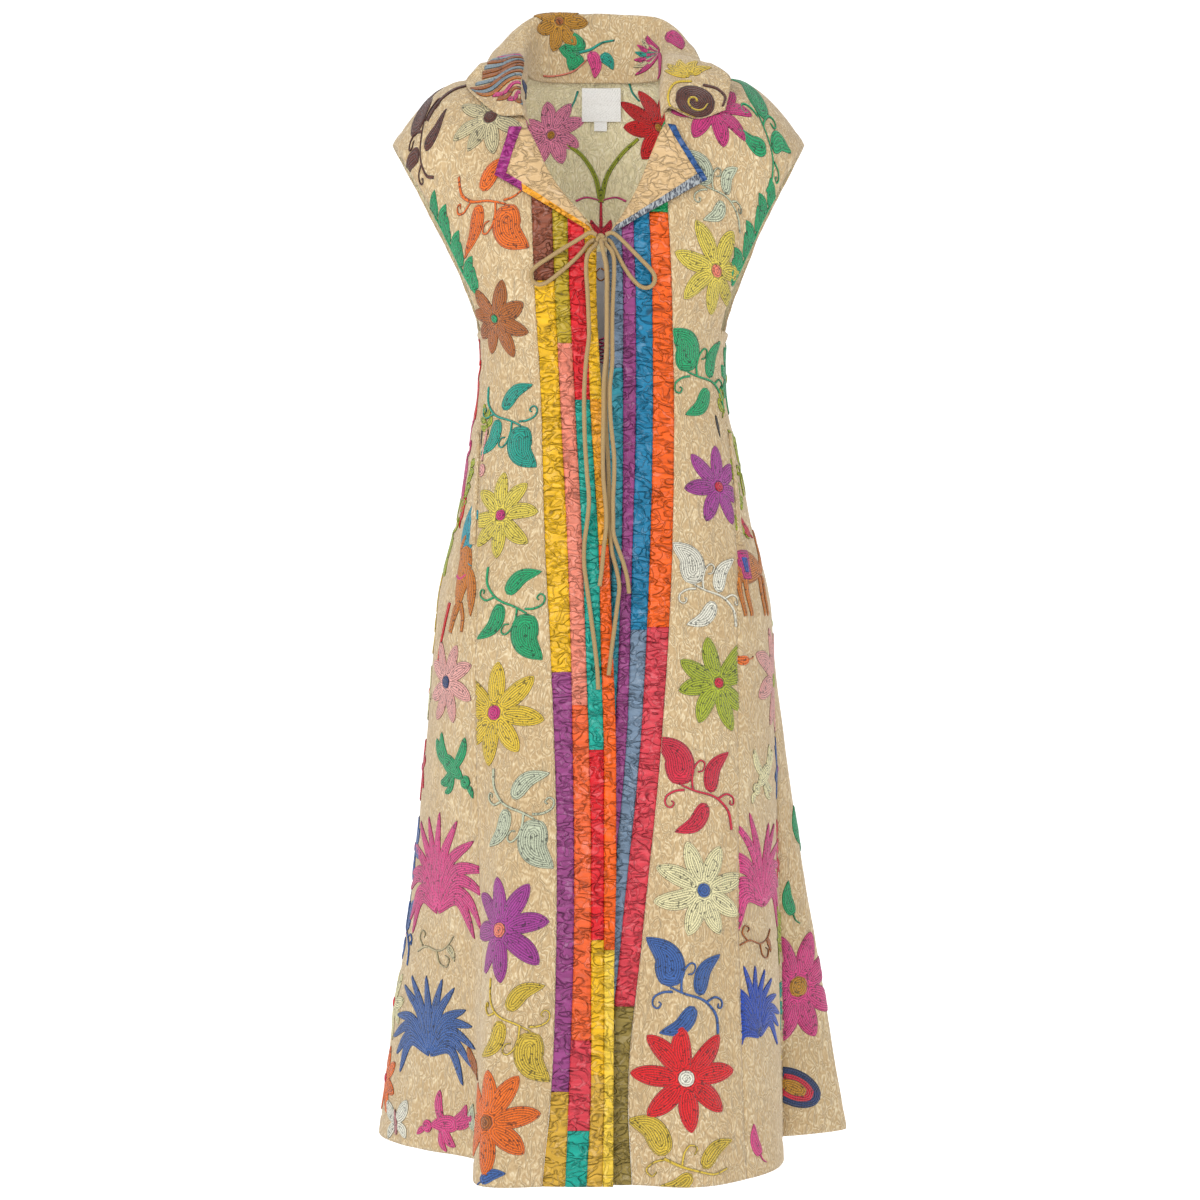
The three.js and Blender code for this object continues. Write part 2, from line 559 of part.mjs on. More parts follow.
const neckSeam = (sideName, along) => {
  const side = sideName === 'left' ? -1 : 1;
  const neckX = side < 0 ? NECK_LEFT : NECK_RIGHT;
  if (along <= 0.5) {
    const x = neckX * Math.sin(Math.PI * along);
    const point = upperPoint(x, neckline(x), 1);
    return point.set(x * COLLAR_INSET, point.y, point.z + COLLAR_SEAT);
  }
  const h = mix(SHOULDER_SIDE, COLLAR_FRONT_END[sideName], (along - 0.5) * 2);
  const x = read(neckEdge(side), 'x', h) * COLLAR_INSET;
  return upperPoint(x, h, -1).add(new THREE.Vector3(0, 0, COLLAR_SEAT));
};
const collarLine = (sideName, along) => {
  const seam = neckSeam(sideName, along);
  const offset = (kind) => new THREE.Vector3(read(COLLAR[sideName], `${kind}X`, along),
    read(COLLAR[sideName], `${kind}Y`, along), read(COLLAR[sideName], `${kind}H`, along));
  const roll = seam.clone().add(offset('roll'));
  const edge = keepClear(seam.clone().add(offset('edge')), 4);
  const middle = roll.clone().lerp(edge, 0.5);
  middle.z += read(COLLAR[sideName], 'sag', along);
  const curve = new THREE.CatmullRomCurve3(
    [seam, seam.clone().lerp(roll, 0.5), roll, keepClear(middle, 4), edge]);
  return curve.getSpacedPoints(COLLAR_CROSS).map((point, k) => {
    const isFall = point.distanceTo(seam) > seam.distanceTo(roll) && k > 2;
    return isFall ? keepClear(point, 3) : point;
  });
};
const collarGrid = [];
for (let k = COLLAR_STEPS; k >= 1; k -= 1) collarGrid.push(collarLine('left', k / COLLAR_STEPS));
for (let k = 0; k <= COLLAR_STEPS; k += 1) collarGrid.push(collarLine('right', k / COLLAR_STEPS));
const withNormals = (grid) => grid.map((line, i) => line.map((point, j) => {
  const before = grid[Math.max(0, i - 1)][j];
  const after = grid[Math.min(grid.length - 1, i + 1)][j];
  const inner = line[Math.max(0, j - 1)];
  const outer = line[Math.min(line.length - 1, j + 1)];
  const normal = outer.clone().sub(inner).cross(after.clone().sub(before)).normalize();
  return { point, normal };
}));
addPiece('collar', wall(withNormals(collarGrid)), finish('ground', 0.9));

// Pocket mouths in the front seams: a narrow bound edge on each side panel
const POCKET = { top: 790, bottom: 665, width: 8, steps: 4 };
const pocketWelt = (side) => {
  const grid = [];
  for (let i = 0; i <= POCKET.steps; i += 1) {
    const h = mix(POCKET.top, POCKET.bottom, i / POCKET.steps);
    const from = seamAngle(side, h) + side * 1;
    grid.push([0, 0.5, 1].map((share) => {
      const turn = THREE.MathUtils.radToDeg(POCKET.width / 140) * share;
      return ringSpot(from + side * turn, h, side > 0);
    }));
  }
  return wall(grid, { forward: side < 0, low: 1.5, high: 3 });
};
addPiece('pocket_welt_left', pocketWelt(-1), finish('brown'));
addPiece('pocket_welt_right', pocketWelt(1), finish('brown'));

// The blank label and its size tab, sewn inside the back below the neckline
const insideTag = (x0, x1, top, bottom, low, high) => {
  const shares = [0, 0.25, 0.5, 0.75, 1];
  const grid = [0, 0.5, 1].map((down) => shares.map(
    (share) => chestSpot(mix(x0, x1, share), mix(top, bottom, down), 1)));
  return wall(grid, { forward: true, low, high });
};
addPiece('label', insideTag(-22.5, 23.5, 1202, 1166, -4, -2.6), finish('white'));
addPiece('size_tab', insideTag(-8, 7, 1165.6, 1155, -3.6, -2.5), finish('white'));

// The tie: a knot at the break, two loops and four tails of round stitched cord
const CORD = { diameter: 4.6, sides: 8, step: 12 };
const KNOT = { x: 0, y: -130.9, h: 993.5, width: 14, depth: 11, height: 12 };
const TIE_ROUTES = {
  tie_loop_left: [
    [-5.5, -132.7, 997.3], [-8.2, -133.7, 999], [-12.5, -133.8, 999.4], [-18.5, -132.6, 996],
    [-30, -130.6, 989.4], [-43, -128.9, 981.8], [-57, -127.2, 973], [-70.6, -125.4, 964],
    [-75.4, -124.4, 957.8], [-74.4, -124, 950], [-68.2, -124, 945.3], [-60.4, -124.8, 946.4],
    [-50, -126, 953.4], [-38, -127.1, 963], [-27, -127.8, 973], [-18.4, -127.9, 982.4],
    [-14.6, -127.7, 987.8], [-10.6, -127.7, 991.3], [-6.9, -128.8, 992.8],
  ],
  tie_loop_right: [
    [5.5, -132.7, 997.3], [8.2, -133.7, 999], [12.5, -133.8, 999.2], [18.5, -132.6, 995.4],
    [31, -130.9, 983.4], [43, -129.6, 971.4], [55.2, -128, 958.4], [58.2, -127.3, 951.2],
    [55.2, -127, 943.9], [47.9, -127, 941], [40.6, -127.4, 943.9], [32, -127.8, 953],
    [24.6, -128.1, 964], [18.4, -128.1, 975.5], [13.2, -127.9, 985.4], [10.3, -127.7, 990.9],
    [6.9, -128.8, 992.8],
  ],
  tie_tail_left: [
    [-4.4, -132.3, 988.6], [-6.6, -133.4, 985.5], [-11, -134.4, 981.5], [-15, -134.2, 974], [-16, -133.9, 960],
    [-14.5, -133.4, 935], [-13.5, -133.4, 912], [-13, -133.4, 888], [-16, -133.4, 862],
    [-18, -133.4, 830], [-18, -133.4, 798], [-17, -133.4, 770], [-15, -133.4, 740], [-13, -133.4, 712],
    [-15, -133.4, 688], [-18, -134.9, 665], [-18, -137.9, 642], [-15.5, -141.9, 622],
    [-12.5, -145.9, 600], [-9.5, -149.9, 577], [-6.5, -153.9, 554], [-4, -157.9, 530],
    [-3, -161.4, 510],
  ],
  tie_tail_right: [
    [4.4, -132.3, 988.6], [6.6, -133.4, 985.5], [10.5, -134.4, 981], [13.5, -134.2, 973], [14, -133.9, 956],
    [13, -133.4, 935], [12, -133.4, 910], [12, -133.4, 885], [12, -133.4, 860], [9.5, -133.4, 834],
    [10, -133.4, 802], [12, -133.4, 780], [14, -133.4, 760], [14, -133.4, 737], [13, -133.4, 716],
    [13, -133.4, 694], [13.5, -133.4, 676], [18.5, -134.4, 660], [24.5, -135.4, 643],
    [28.5, -136.4, 626], [30, -137.4, 612],
  ],
  tie_tail_middle: [
    [0, -136.4, 990.4], [0.2, -138.7, 988], [2, -139.9, 979], [4.5, -139.2, 968],
    [6, -138.1, 953],
    [6, -137.4, 930], [6, -136.9, 900], [5.5, -136.4, 870], [3, -135.9, 840], [2.5, -135.4, 805],
    [2, -135.4, 770], [2.5, -135.4, 735], [5, -135.4, 706], [5.5, -135.9, 684], [3, -137.4, 662],
    [1, -140.9, 640], [-1.5, -144.4, 620],
  ],
  tie_tail_inner: [
    [0.3, -127.7, 988.1], [0.8, -126.7, 985.2], [3.5, -127.7, 977], [6, -128.6, 967], [7, -128.6, 948],
    [7, -128.2, 925], [7, -127.9, 895], [6.5, -127.9, 865], [5, -127.9, 835],
    [5, -127.9, 800], [6.5, -127.9, 775], [8, -127.9, 750], [8.5, -127.9, 725],
    [8.5, -128.6, 700], [10, -130.4, 678], [12, -131.9, 656], [16.5, -133.9, 638],
    [19.5, -137.9, 620], [17.5, -144.2, 600], [14.5, -148.9, 577], [11, -153.9, 550],
    [8, -158.7, 525],
  ],
};
const knotShape = new THREE.SphereGeometry(0.5, 12, 8);
knotShape.scale(KNOT.width, KNOT.depth, KNOT.height);
knotShape.translate(KNOT.x, KNOT.y, KNOT.h);
addPiece('tie_knot', knotShape, finish('cord'));

const cordSection = new THREE.Shape();
for (let k = 0; k < CORD.sides; k += 1) {
  const turn = 2 * Math.PI * (k + 0.5) / CORD.sides;
  const [x, y] = [Math.cos(turn), Math.sin(turn)].map((share) => share * CORD.diameter / 2);
  if (k === 0) cordSection.moveTo(x, y);
  else cordSection.lineTo(x, y);
}
cordSection.closePath();
for (const [name, route] of Object.entries(TIE_ROUTES)) {
  const curve = new THREE.CatmullRomCurve3(route.map((point) => new THREE.Vector3(...point)));
  const steps = Math.round(curve.getLength() / CORD.step);
  const cord = new THREE.ExtrudeGeometry(cordSection, { steps, extrudePath: curve });
  addPiece(name, cord, finish('cord'));
}

export default garment;
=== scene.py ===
"""The looks of a long embroidered vest, held open as it is worn and tied at the chest.

Sizes are in millimetres, heights are measured up from the hem, and every mesh is turned into
the row frame, in metres, as it is made. The form is worked out from the same named tables as
the CAD part's source, on finer grids, and the sewn pieces are then dressed with motifs.
"""

import math

import bpy
import numpy as np
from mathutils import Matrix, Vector
from mathutils.bvhtree import BVHTree


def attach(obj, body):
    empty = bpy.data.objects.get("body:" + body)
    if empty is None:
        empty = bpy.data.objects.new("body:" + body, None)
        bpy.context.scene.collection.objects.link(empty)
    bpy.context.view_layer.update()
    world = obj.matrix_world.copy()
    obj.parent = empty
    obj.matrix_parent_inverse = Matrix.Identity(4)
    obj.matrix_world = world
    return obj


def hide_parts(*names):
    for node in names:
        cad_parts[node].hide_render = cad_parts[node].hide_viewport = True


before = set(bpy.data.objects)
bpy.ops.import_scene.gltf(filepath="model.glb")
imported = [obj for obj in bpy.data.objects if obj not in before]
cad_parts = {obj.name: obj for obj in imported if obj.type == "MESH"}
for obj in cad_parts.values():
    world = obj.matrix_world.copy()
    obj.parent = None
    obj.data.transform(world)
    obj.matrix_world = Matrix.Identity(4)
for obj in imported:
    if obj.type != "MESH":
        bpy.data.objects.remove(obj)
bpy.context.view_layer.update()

# Camera: one photograph pixel is this many millimetres at the depth of the shoulders
PIXEL = 1.13
CAMERA_DISTANCE = 2700
CENTRE_PIXEL = 601
IMAGE_MIDDLE = 600
CAMERA_HEIGHT = 605
HELD_HEIGHT = 1190
SENSOR = 36

# Driving sizes of the garment
UNDERARM = 905
TIP_HEIGHT = 1118
SHOULDER_SIDE = 1203
NAPE_HEIGHT = 1209
NECK_LEFT = -86
NECK_RIGHT = 74
TIP_X = 235
UNDERARM_X = 133
RIGHT_SCALE = 0.975
SHOULDER_SEAM_Y = 8
SHOULDER_ROUND = 90
SQUARENESS = 2.5
CLOTH = 2
GRID = 4.5
SEAM_GAP = 0.1


def rows(names, *lines):
    """A table with named columns."""
    return dict(zip(names.split(), np.array(lines, float).T))


# Half widths and depths of the rings, at heights above the hem, and the front seams' angles
RINGS = rows(
    "h left right front back seam_left seam_right",
    (0, 253, 282, 237, 198, -36, 37),
    (130, 236, 260, 218, 186, -38, 39),
    (266, 216, 237, 197, 172, -43, 42),
    (400, 201, 217, 175, 157, -46, 47),
    (500, 192, 202, 158, 143, -48, 51),
    (605, 181, 188, 140, 128, -51, 55.5),
    (700, 159, 165, 122, 112, -59, 64),
    (780, 147, 150, 108, 100, -65.5, 70.5),
    (848, 137, 139, 100, 95, -72, 74.5),
    (905, 139, 141, 117, 108, -71, 70),
    (960, 170, 168, 125, 115, -71, 70),
    (1060, 225, 221, 109, 118, -71, 70),
    (1120, 265, 259, 98, 110, -71, 70),
    (1210, 310, 302, 74, 92, -71, 70),
)

# Folds of the skirt: middle, reach before and after in degrees, depth, and start height
FOLDS = (
    (-26, 13, 14, 15, 560),
    (-50, 48, 24, -88, 560),
    (22, 14, 16, 9, 560),
    (86, 64, 12, -90, 600),
    (106, 9, 14, 8, 500),
    (134, 15, 16, -40, 640),
    (168, 16, 18, -34, 600),
    (-154, 15, 19, -42, 640),
    (-120, 14, 12, -26, 520),
)

# Edges of the patchwork strips down the front, as x at heights; the first is the outer edge
STRIP_COLUMNS = "h outer second third fourth inner"
STRIP_EDGES = {
    -1: rows(
        STRIP_COLUMNS,
        (0, -61, -37, -15, 1, 12.5),
        (107, -51, -33, -10.5, 3, 13),
        (229, -47, -29, -10.5, 3, 14),
        (331, -46.5, -28.5, -10.5, 3, 16),
        (435, -49, -30, -12.5, 3, 16),
        (541, -53.5, -32, -16, 0, 13),
        (670, -60.5, -36.5, -20.5, -3, 8),
        (823, -65.5, -44.5, -28.5, -12, 1),
        (950, -72.5, -50.5, -34.5, -16, -5),
        (1033, -75, -53, -36.5, -19, -4),
        (1115, -79, -54, -37, -20, -4),
    ),
    1: rows(
        STRIP_COLUMNS,
        (0, 32, 11, -5, -18, -30),
        (88, 28, 7, -9, -22, -34),
        (249, 43, 21, 6, -8, -20),
        (446, 63.5, 41.5, 26.5, 13, 0),
        (648, 76.5, 52.5, 33.5, 22, 11.5),
        (823, 79.5, 56.5, 38, 24, 6.5),
        (930, 77, 55.5, 37.5, 24, 7.5),
        (1033, 72.5, 52, 35, 22, 5),
        (1130, 70, 51, 35, 22, 5),
    ),
}
STRIPS = ("outer", "second", "third", "fourth", "inner")

# Roll lines, along which the fronts turn out into lapels: height at x
ROLL = {
    -1: rows("h top", (-80, 1121), (-63, 1078), (-39, 1043), (-14, 1013), (-4, 998)),
    1: rows("h top", (5, 996), (15, 1006), (35, 1043), (53, 1084), (70, 1128)),
}
ROLL_START = 1080

# Neck edge of each front above the strips: x at heights
NECK_EDGE = {
    -1: rows("h x", (1115, -79), (1163, -88), (SHOULDER_SIDE, NECK_LEFT)),
    1: rows("h x", (1130, 70), (1167, 68), (SHOULDER_SIDE, NECK_RIGHT)),
}

# The patchwork: colour and lower end of each piece, from the top down, strip by strip
PATCHES = {
    -1: {
        "outer": (("brown", 950), ("yellow", 528), ("purple", 95), ("gold", 0)),
        "second": (("mustard", 884), ("salmon", 493), ("coral", 147), ("rose", 56), ("teal", 0)),
        "third": (("red", 823), ("teal", 446), ("red", 249), ("yellow", 112), ("gold", 0)),
        "fourth": (("yellow", 823), ("amber", 664), ("orange", 239), ("straw", 0)),
    },
    1: {
        "outer": (("green", 1025), ("orange", 576), ("rose", 180), ("olive", 0)),
        "second": (("rose", 1030), ("blue", 573), ("slate", 0)),
        "third": (("purple", 0),),
        "fourth": (("slate", 858), ("lagoon", 0)),
    },
}

SATINS = {
    "brown": "#8a4a32", "yellow": "#e8b416", "purple": "#93407c", "gold": "#cfa338",
    "mustard": "#b59a1f", "salmon": "#e5836b", "coral": "#e8602c", "rose": "#d23c49",
    "teal": "#0fa08e", "red": "#d61a25", "amber": "#f0a21f", "orange": "#ef5f10",
    "straw": "#ecc63f", "green": "#16a35f", "olive": "#8f7b3a", "blue": "#14779f",
    "slate": "#6d8298", "lagoon": "#2b8796", "magenta": "#a22c7e",
    "navy": "#2a548c",
}
SIDE_NAMES = {-1: "left", 1: "right"}


def linear(code):
    """A colour written as #rrggbb, as linear values."""
    parts = [int(code[k:k + 2], 16) / 255 for k in (1, 3, 5)]
    return tuple(c / 12.92 if c <= 0.04045 else ((c + 0.055) / 1.055) ** 2.4 for c in parts)


def read(table, column, at):
    """Smooth reading of a column at heights, on the same curve as in the part's source."""
    h, value = table["h"], table[column]
    at = np.clip(np.asarray(at, float), h[0], h[-1])
    slope = np.diff(value) / np.diff(h)
    last = len(slope) - 1
    i = np.clip(np.searchsorted(h, at) - 1, 0, last)
    here = slope[i]
    before = np.where(i > 0, slope[np.maximum(i - 1, 0)], here)
    after = np.where(i < last, slope[np.minimum(i + 1, last)], here)
    start = np.where(before * here > 0, (before + here) / 2, 0)
    end = np.where(after * here > 0, (after + here) / 2, 0)
    span = h[i + 1] - h[i]
    t = (at - h[i]) / span
    t2, t3 = t * t, t * t * t
    level = value[i] * (2 * t3 - 3 * t2 + 1) + value[i + 1] * (3 * t2 - 2 * t3)
    return level + (start * (t3 - 2 * t2 + t) + end * (t3 - t2)) * span


def mix(a, b, t):
    return a + (b - a) * t


def smooth_step(t):
    t = np.clip(t, 0, 1)
    return t * t * (3 - 2 * t)


def overlap(x, h):
    """How far the right front lies behind the left one."""
    return 8 * smooth_step((770 - h) / 130) * smooth_step((92 - x) / 52)


def ring_point(degrees, h, behind=False):
    """A point of the ring at a height, by its angle from the front centre."""
    degrees, h = np.broadcast_arrays(np.asarray(degrees, float), np.asarray(h, float))
    angle = np.radians(degrees)
    across, along = np.sin(angle), -np.cos(angle)
    width = np.where(across < 0, read(RINGS, "left", h), read(RINGS, "right", h))
    deep = np.where(along < 0, read(RINGS, "front", h), read(RINGS, "back", h))
    radius = np.abs(across / width) ** SQUARENESS + np.abs(along / deep) ** SQUARENESS
    radius = radius ** (-1 / SQUARENESS)
    for at, before, after, depth, start in FOLDS:
        away = (degrees - at + 180) % 360 - 180
        share = np.clip(1 - np.abs(away) / np.where(away < 0, before, after), 0, 1)
        drop = np.clip((start - h) / start, 0, 1) ** 1.3
        radius = radius + depth * drop * (0.5 - 0.5 * np.cos(np.pi * share))
    if behind:
        radius = radius - overlap(radius * across, h)
    return np.stack([radius * across, radius * along, h], -1)


def ridge_height(x):
    """The shoulder line's height."""
    scale = np.where(x > 0, RIGHT_SCALE, 1)
    reach = np.abs(x) / scale
    neck = np.where(x < 0, -NECK_LEFT, NECK_RIGHT) / scale
    slope = 12 * np.clip((reach - neck) / (155 - neck), 0, 1)
    cap = 73 * np.maximum(0, (reach - 155) / 80) ** 1.7
    over_neck = SHOULDER_SIDE + 44 * (1 - (reach / neck) ** 2)
    return np.where(reach < neck, over_neck, SHOULDER_SIDE - slope - cap)


def chest_depth(x, h, sense):
    width = np.where(x < 0, read(RINGS, "left", h), read(RINGS, "right", h))
    deep = np.where(sense < 0, read(RINGS, "front", h), read(RINGS, "back", h))
    flat = np.maximum(0, 1 - np.abs(x / width) ** SQUARENESS) ** (1 / SQUARENESS)
    return sense * deep * flat


def upper_point(x, h, sense):
    """A point of the chest or the back above the underarm, rounding over the shoulder."""
    x, h = np.broadcast_arrays(np.asarray(x, float), np.asarray(h, float))
    fall = np.clip((ridge_height(x) - h) / SHOULDER_ROUND, 0, 1)
    around = np.sqrt(np.maximum(0, 1 - (1 - fall) ** 2))
    seam_y = SHOULDER_SEAM_Y * smooth_step((h - UNDERARM) / 60)
    return np.stack([x, mix(seam_y, chest_depth(x, h, sense), around), h], -1)


def unit(vectors):
    return vectors / np.maximum(np.linalg.norm(vectors, axis=-1, keepdims=True), 1e-9)


def spots(surface, u, v, step_u, step_v, sign=1):
    """Points of a surface, and the directions that point out of it there."""
    along_u = surface(u + step_u, v) - surface(u - step_u, v)
    along_v = surface(u, v + step_v) - surface(u, v - step_v)
    return surface(u, v), sign * unit(np.cross(along_u, along_v))


def ring_spots(degrees, h, behind=False):
    return spots(lambda a, b: ring_point(a, b, behind), degrees, h, 0.6, 3)


def chest_spots(x, h, sense):
    return spots(lambda a, b: upper_point(a, b, sense), x, h, 1, -1, sense)


def armhole_x(h, side):
    rise = np.clip((h - UNDERARM) / (TIP_HEIGHT - UNDERARM), 0, 1)
    reach = UNDERARM_X + (TIP_X - UNDERARM_X) * rise ** 1.3
    return side * reach * (RIGHT_SCALE + (1 - RIGHT_SCALE) * (1 - rise) if side > 0 else 1)


WIDEST_ANGLE = 75.0
HALVINGS = 24


def angle_at_x(x, h, side):
    """Where the front reaches an x, as an angle."""
    low, high = np.zeros_like(x), np.full_like(x, WIDEST_ANGLE)
    sign = np.where(x < 0, -1, 1)
    for _ in range(HALVINGS):
        middle = (low + high) / 2
        short = np.abs(ring_point(sign * middle, h, side > 0)[..., 0]) < np.abs(x)
        low, high = np.where(short, middle, low), np.where(short, high, middle)
    return sign * (low + high) / 2


def noise(u, v, seed):
    """Smooth random values from -1 to 1, about one for each unit square."""
    u, v = np.broadcast_arrays(np.asarray(u, float), np.asarray(v, float))
    i, j = np.floor(u), np.floor(v)
    fu, fv = smooth_step(u - i), smooth_step(v - j)

    def corner(a, b):
        value = np.sin(a * 127.1 + b * 311.7 + seed * 74.7) * 43758.5453
        return 2 * (value - np.floor(value)) - 1

    near = mix(corner(i, j), corner(i + 1, j), fu)
    far = mix(corner(i, j + 1), corner(i + 1, j + 1), fu)
    return mix(near, far, fv)


def softness(points):
    """Shallow waves that the whole cloth has, wherever it is sewn."""
    x, y, h = points[..., 0], points[..., 1], points[..., 2]
    wave = noise((x + 0.6 * y) / 46, h / 70, 3) + 0.5 * noise((x - y) / 24, h / 38, 5)
    calm = np.clip((1110 - h) / 60, 0.2, 1)
    return 1.3 * wave * calm


def in_metres(points):
    """From millimetres above the hem to the row frame."""
    moved = np.array(points, float).reshape(-1, 3) / 1000
    moved[:, 2] -= HELD_HEIGHT / 1000
    return moved


# Shared builders of meshes, materials and nodes
carriers = {}

# Painted shade: a grey inside cloth in place of the beige reverse where that lies in shadow; its
# reach from the middle, and the height under which it is all round
SHADE_GREY_REACH = 100
SHADE_GREY_ALL_ROUND = 700


def new_object(name, vertices, faces, materials):
    mesh = bpy.data.meshes.new(name)
    mesh.from_pydata(in_metres(vertices).tolist(), [], faces)
    mesh.polygons.foreach_set("use_smooth", [True] * len(mesh.polygons))
    for made in materials:
        mesh.materials.append(made)
    obj = bpy.data.objects.new(name, mesh)
    bpy.context.scene.collection.objects.link(obj)
    return obj


def set_uv(obj, name, per_vertex):
    layer = obj.data.uv_layers.new(name=name)
    index = np.zeros(len(obj.data.loops), np.int32)
    obj.data.loops.foreach_get("vertex_index", index)
    layer.data.foreach_set("uv", per_vertex[index].astype(np.float32).ravel())


def grid_faces(lines, columns):
    i, j = np.meshgrid(np.arange(lines - 1), np.arange(columns - 1), indexing="ij")
    a = (i * columns + j).ravel()
    return np.stack([a, a + 1, a + columns + 1, a + columns], -1)


def distances(line):
    """Distances along a line of points, from its first."""
    steps = np.linalg.norm(np.diff(line, axis=0), axis=1)
    return np.concatenate([[0], np.cumsum(steps)])


def distances_across(points):
    """Distances along each line of a grid of points, from the line's first."""
    steps = np.linalg.norm(np.diff(points, axis=1), axis=-1)
    return np.concatenate([np.zeros((len(points), 1)), np.cumsum(steps, axis=1)], axis=1)


def shell(name, points, normals, materials, low=-CLOTH / 2, high=CLOTH / 2, relief=0,
          shade_grey_below=None, nodes=(), seam=1.0):
    """A closed wall of cloth on a grid of spots, with the skins moved along the normals."""
    lines, columns = points.shape[:2]
    wave = softness(points)[..., None]
    edge = seam_dip(points, seam)[..., None]
    outer = points + normals * (high + wave + edge + np.asarray(relief)[..., None])
    inner = points + normals * (low + wave + 0.3 * edge)
    vertices = np.concatenate([outer.reshape(-1, 3), inner.reshape(-1, 3)])
    size = lines * columns
    top = grid_faces(lines, columns)
    middle = lines // 2, columns // 2
    step_down = points[middle[0] + 1, middle[1]] - points[middle]
    step_side = points[middle[0], middle[1] + 1] - points[middle]
    forward = np.dot(np.cross(step_side, step_down), normals[middle]) > 0
    under = top[:, ::-1] + size
    loop = np.concatenate([
        np.arange(columns),
        np.arange(1, lines) * columns + columns - 1,
        (lines - 1) * columns + np.arange(columns - 2, -1, -1),
        np.arange(lines - 2, 0, -1) * columns,
    ])
    ahead = np.roll(loop, -1)
    rim = np.stack([ahead, loop, loop + size, ahead + size], -1)
    faces = np.concatenate([top, under, rim])
    if not forward:
        faces = faces[:, ::-1]
    obj = new_object(name, vertices, faces.tolist(), materials)
    across = distances_across(outer)
    uv = np.stack([across, points[..., 2]], -1).reshape(-1, 2) / 1000
    set_uv(obj, "cloth", np.concatenate([uv, uv]))
    # Inner faces near the middle and low all round take the grey painted shade; the rest take the
    # beige reverse.
    if shade_grey_below is not None:
        x, _, heights = points.reshape(-1, 3)[top[:, 0]].T
        shade_grey = (np.abs(x) < SHADE_GREY_REACH) | (heights < SHADE_GREY_ALL_ROUND)
        shade_grey &= heights < shade_grey_below
        chosen = np.zeros(len(faces), np.int32)
        chosen[len(top):2 * len(top)] = np.where(shade_grey, 1, 2)
        obj.data.polygons.foreach_set("material_index", chosen)
    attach(obj, "root")
    if nodes:
        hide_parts(*nodes)
    carriers[name] = (outer, normals)


def seam_dip(points, amount):
    """The cloth is drawn in beside the seams at both of its long edges, and puckers there."""
    across = distances_across(points)
    away = np.minimum(across, across[:, -1:] - across)
    pucker = 0.5 * noise(points[..., 2] / 7, away / 30, 11)
    return -amount * np.exp(-away / 2.5) * (1 + pucker) + 0.35 * amount * np.exp(-away / 9)


def add(tree, kind, inputs=None, **settings):
    """A shader node with its settings, and its inputs as links or values."""
    made = tree.nodes.new(kind)
    for key, value in settings.items():
        setattr(made, key, value)
    for key, value in (inputs or {}).items():
        target = made.inputs[key]
        if isinstance(value, bpy.types.NodeSocket):
            tree.links.new(value, target)
        else:
            target.default_value = value
    return made


def maths(tree, operation, a, b=0.0, c=0.0):
    made = add(tree, "ShaderNodeMath", {0: a, 1: b, 2: c}, operation=operation)
    return made.outputs[0]


def ramp(tree, factor, stops):
    made = add(tree, "ShaderNodeValToRGB", {"Fac": factor})
    points = made.color_ramp.elements
    while len(points) < len(stops):
        points.new(0.5)
    for point, (position, colour) in zip(points, stops):
        point.position = position
        point.color = (*colour, 1)
    return made.outputs["Color"]


def start_material(name, roughness, sheen=0.0, specular=0.4):
    made = bpy.data.materials.new(name)
    made.use_nodes = True
    tree = made.node_tree
    shader = tree.nodes["Principled BSDF"]
    shader.inputs["Roughness"].default_value = roughness
    shader.inputs["Sheen Weight"].default_value = sheen
    shader.inputs["Sheen Roughness"].default_value = 0.5
    shader.inputs["Specular IOR Level"].default_value = specular
    return made, tree, shader


def finish_material(tree, shader, colour, height, distance, strength=1.0, roughness=None):
    bump = add(tree, "ShaderNodeBump", {"Height": height, "Distance": distance,
                                        "Strength": strength})
    tree.links.new(bump.outputs["Normal"], shader.inputs["Normal"])
    tree.links.new(colour, shader.inputs["Base Color"])
    if roughness is not None:
        tree.links.new(roughness, shader.inputs["Roughness"])


def place(tree, scale=(1, 1, 1)):
    """Object coordinates, which are metres in the row frame."""
    coordinates = add(tree, "ShaderNodeTexCoord")
    mapping = add(tree, "ShaderNodeMapping",
                  {"Vector": coordinates.outputs["Object"], "Scale": scale})
    return mapping.outputs["Vector"]


def speckle(tree, vector, scale, detail=2.0, distortion=0.0):
    made = add(tree, "ShaderNodeTexNoise",
               {"Vector": vector, "Scale": scale, "Detail": detail, "Distortion": distortion})
    return made.outputs["Fac"]


def tinted(colour, factor):
    return tuple(min(1, c * factor) for c in colour)


GROUND_STOPS = (0.2, 0.5, 0.75, 1.0)


def ground_material(name, codes):
    """Beige cloth covered all over with curling lines of tonal chain stitch."""
    made, tree, shader = start_material(name, 0.85, 0.25, 0.25)
    where = place(tree, (1, 1, 0.5))
    field = speckle(tree, where, 120, 1.0, 0.5)
    lines = maths(tree, "SINE", maths(tree, "MULTIPLY", field, 46))
    lines = maths(tree, "MULTIPLY_ADD", lines, 0.5, 0.5)
    stitches = speckle(tree, where, 620, 1.0)
    tone = speckle(tree, where, 14, 3.0)
    level = maths(tree, "MULTIPLY_ADD", lines, 0.42, maths(tree, "MULTIPLY", stitches, 0.55))
    level = maths(tree, "ADD", level, maths(tree, "MULTIPLY", tone, 0.25))
    colour = ramp(tree, level, tuple(zip(GROUND_STOPS, map(linear, codes))))
    height = maths(tree, "MULTIPLY_ADD", stitches, 0.6, lines)
    finish_material(tree, shader, colour, height, 0.0009, 0.8)
    return made


def thin_lines(tree, vector, scale, sharpness):
    """Wandering lines, 1 along their middles and 0 between them."""
    field = speckle(tree, vector, scale, 1.0, 0.9)
    away = maths(tree, "ABSOLUTE", maths(tree, "MULTIPLY_ADD", field, 2.0, -1.0))
    return maths(tree, "MAXIMUM", maths(tree, "MULTIPLY_ADD", away, -sharpness, 1.0), 0.0)


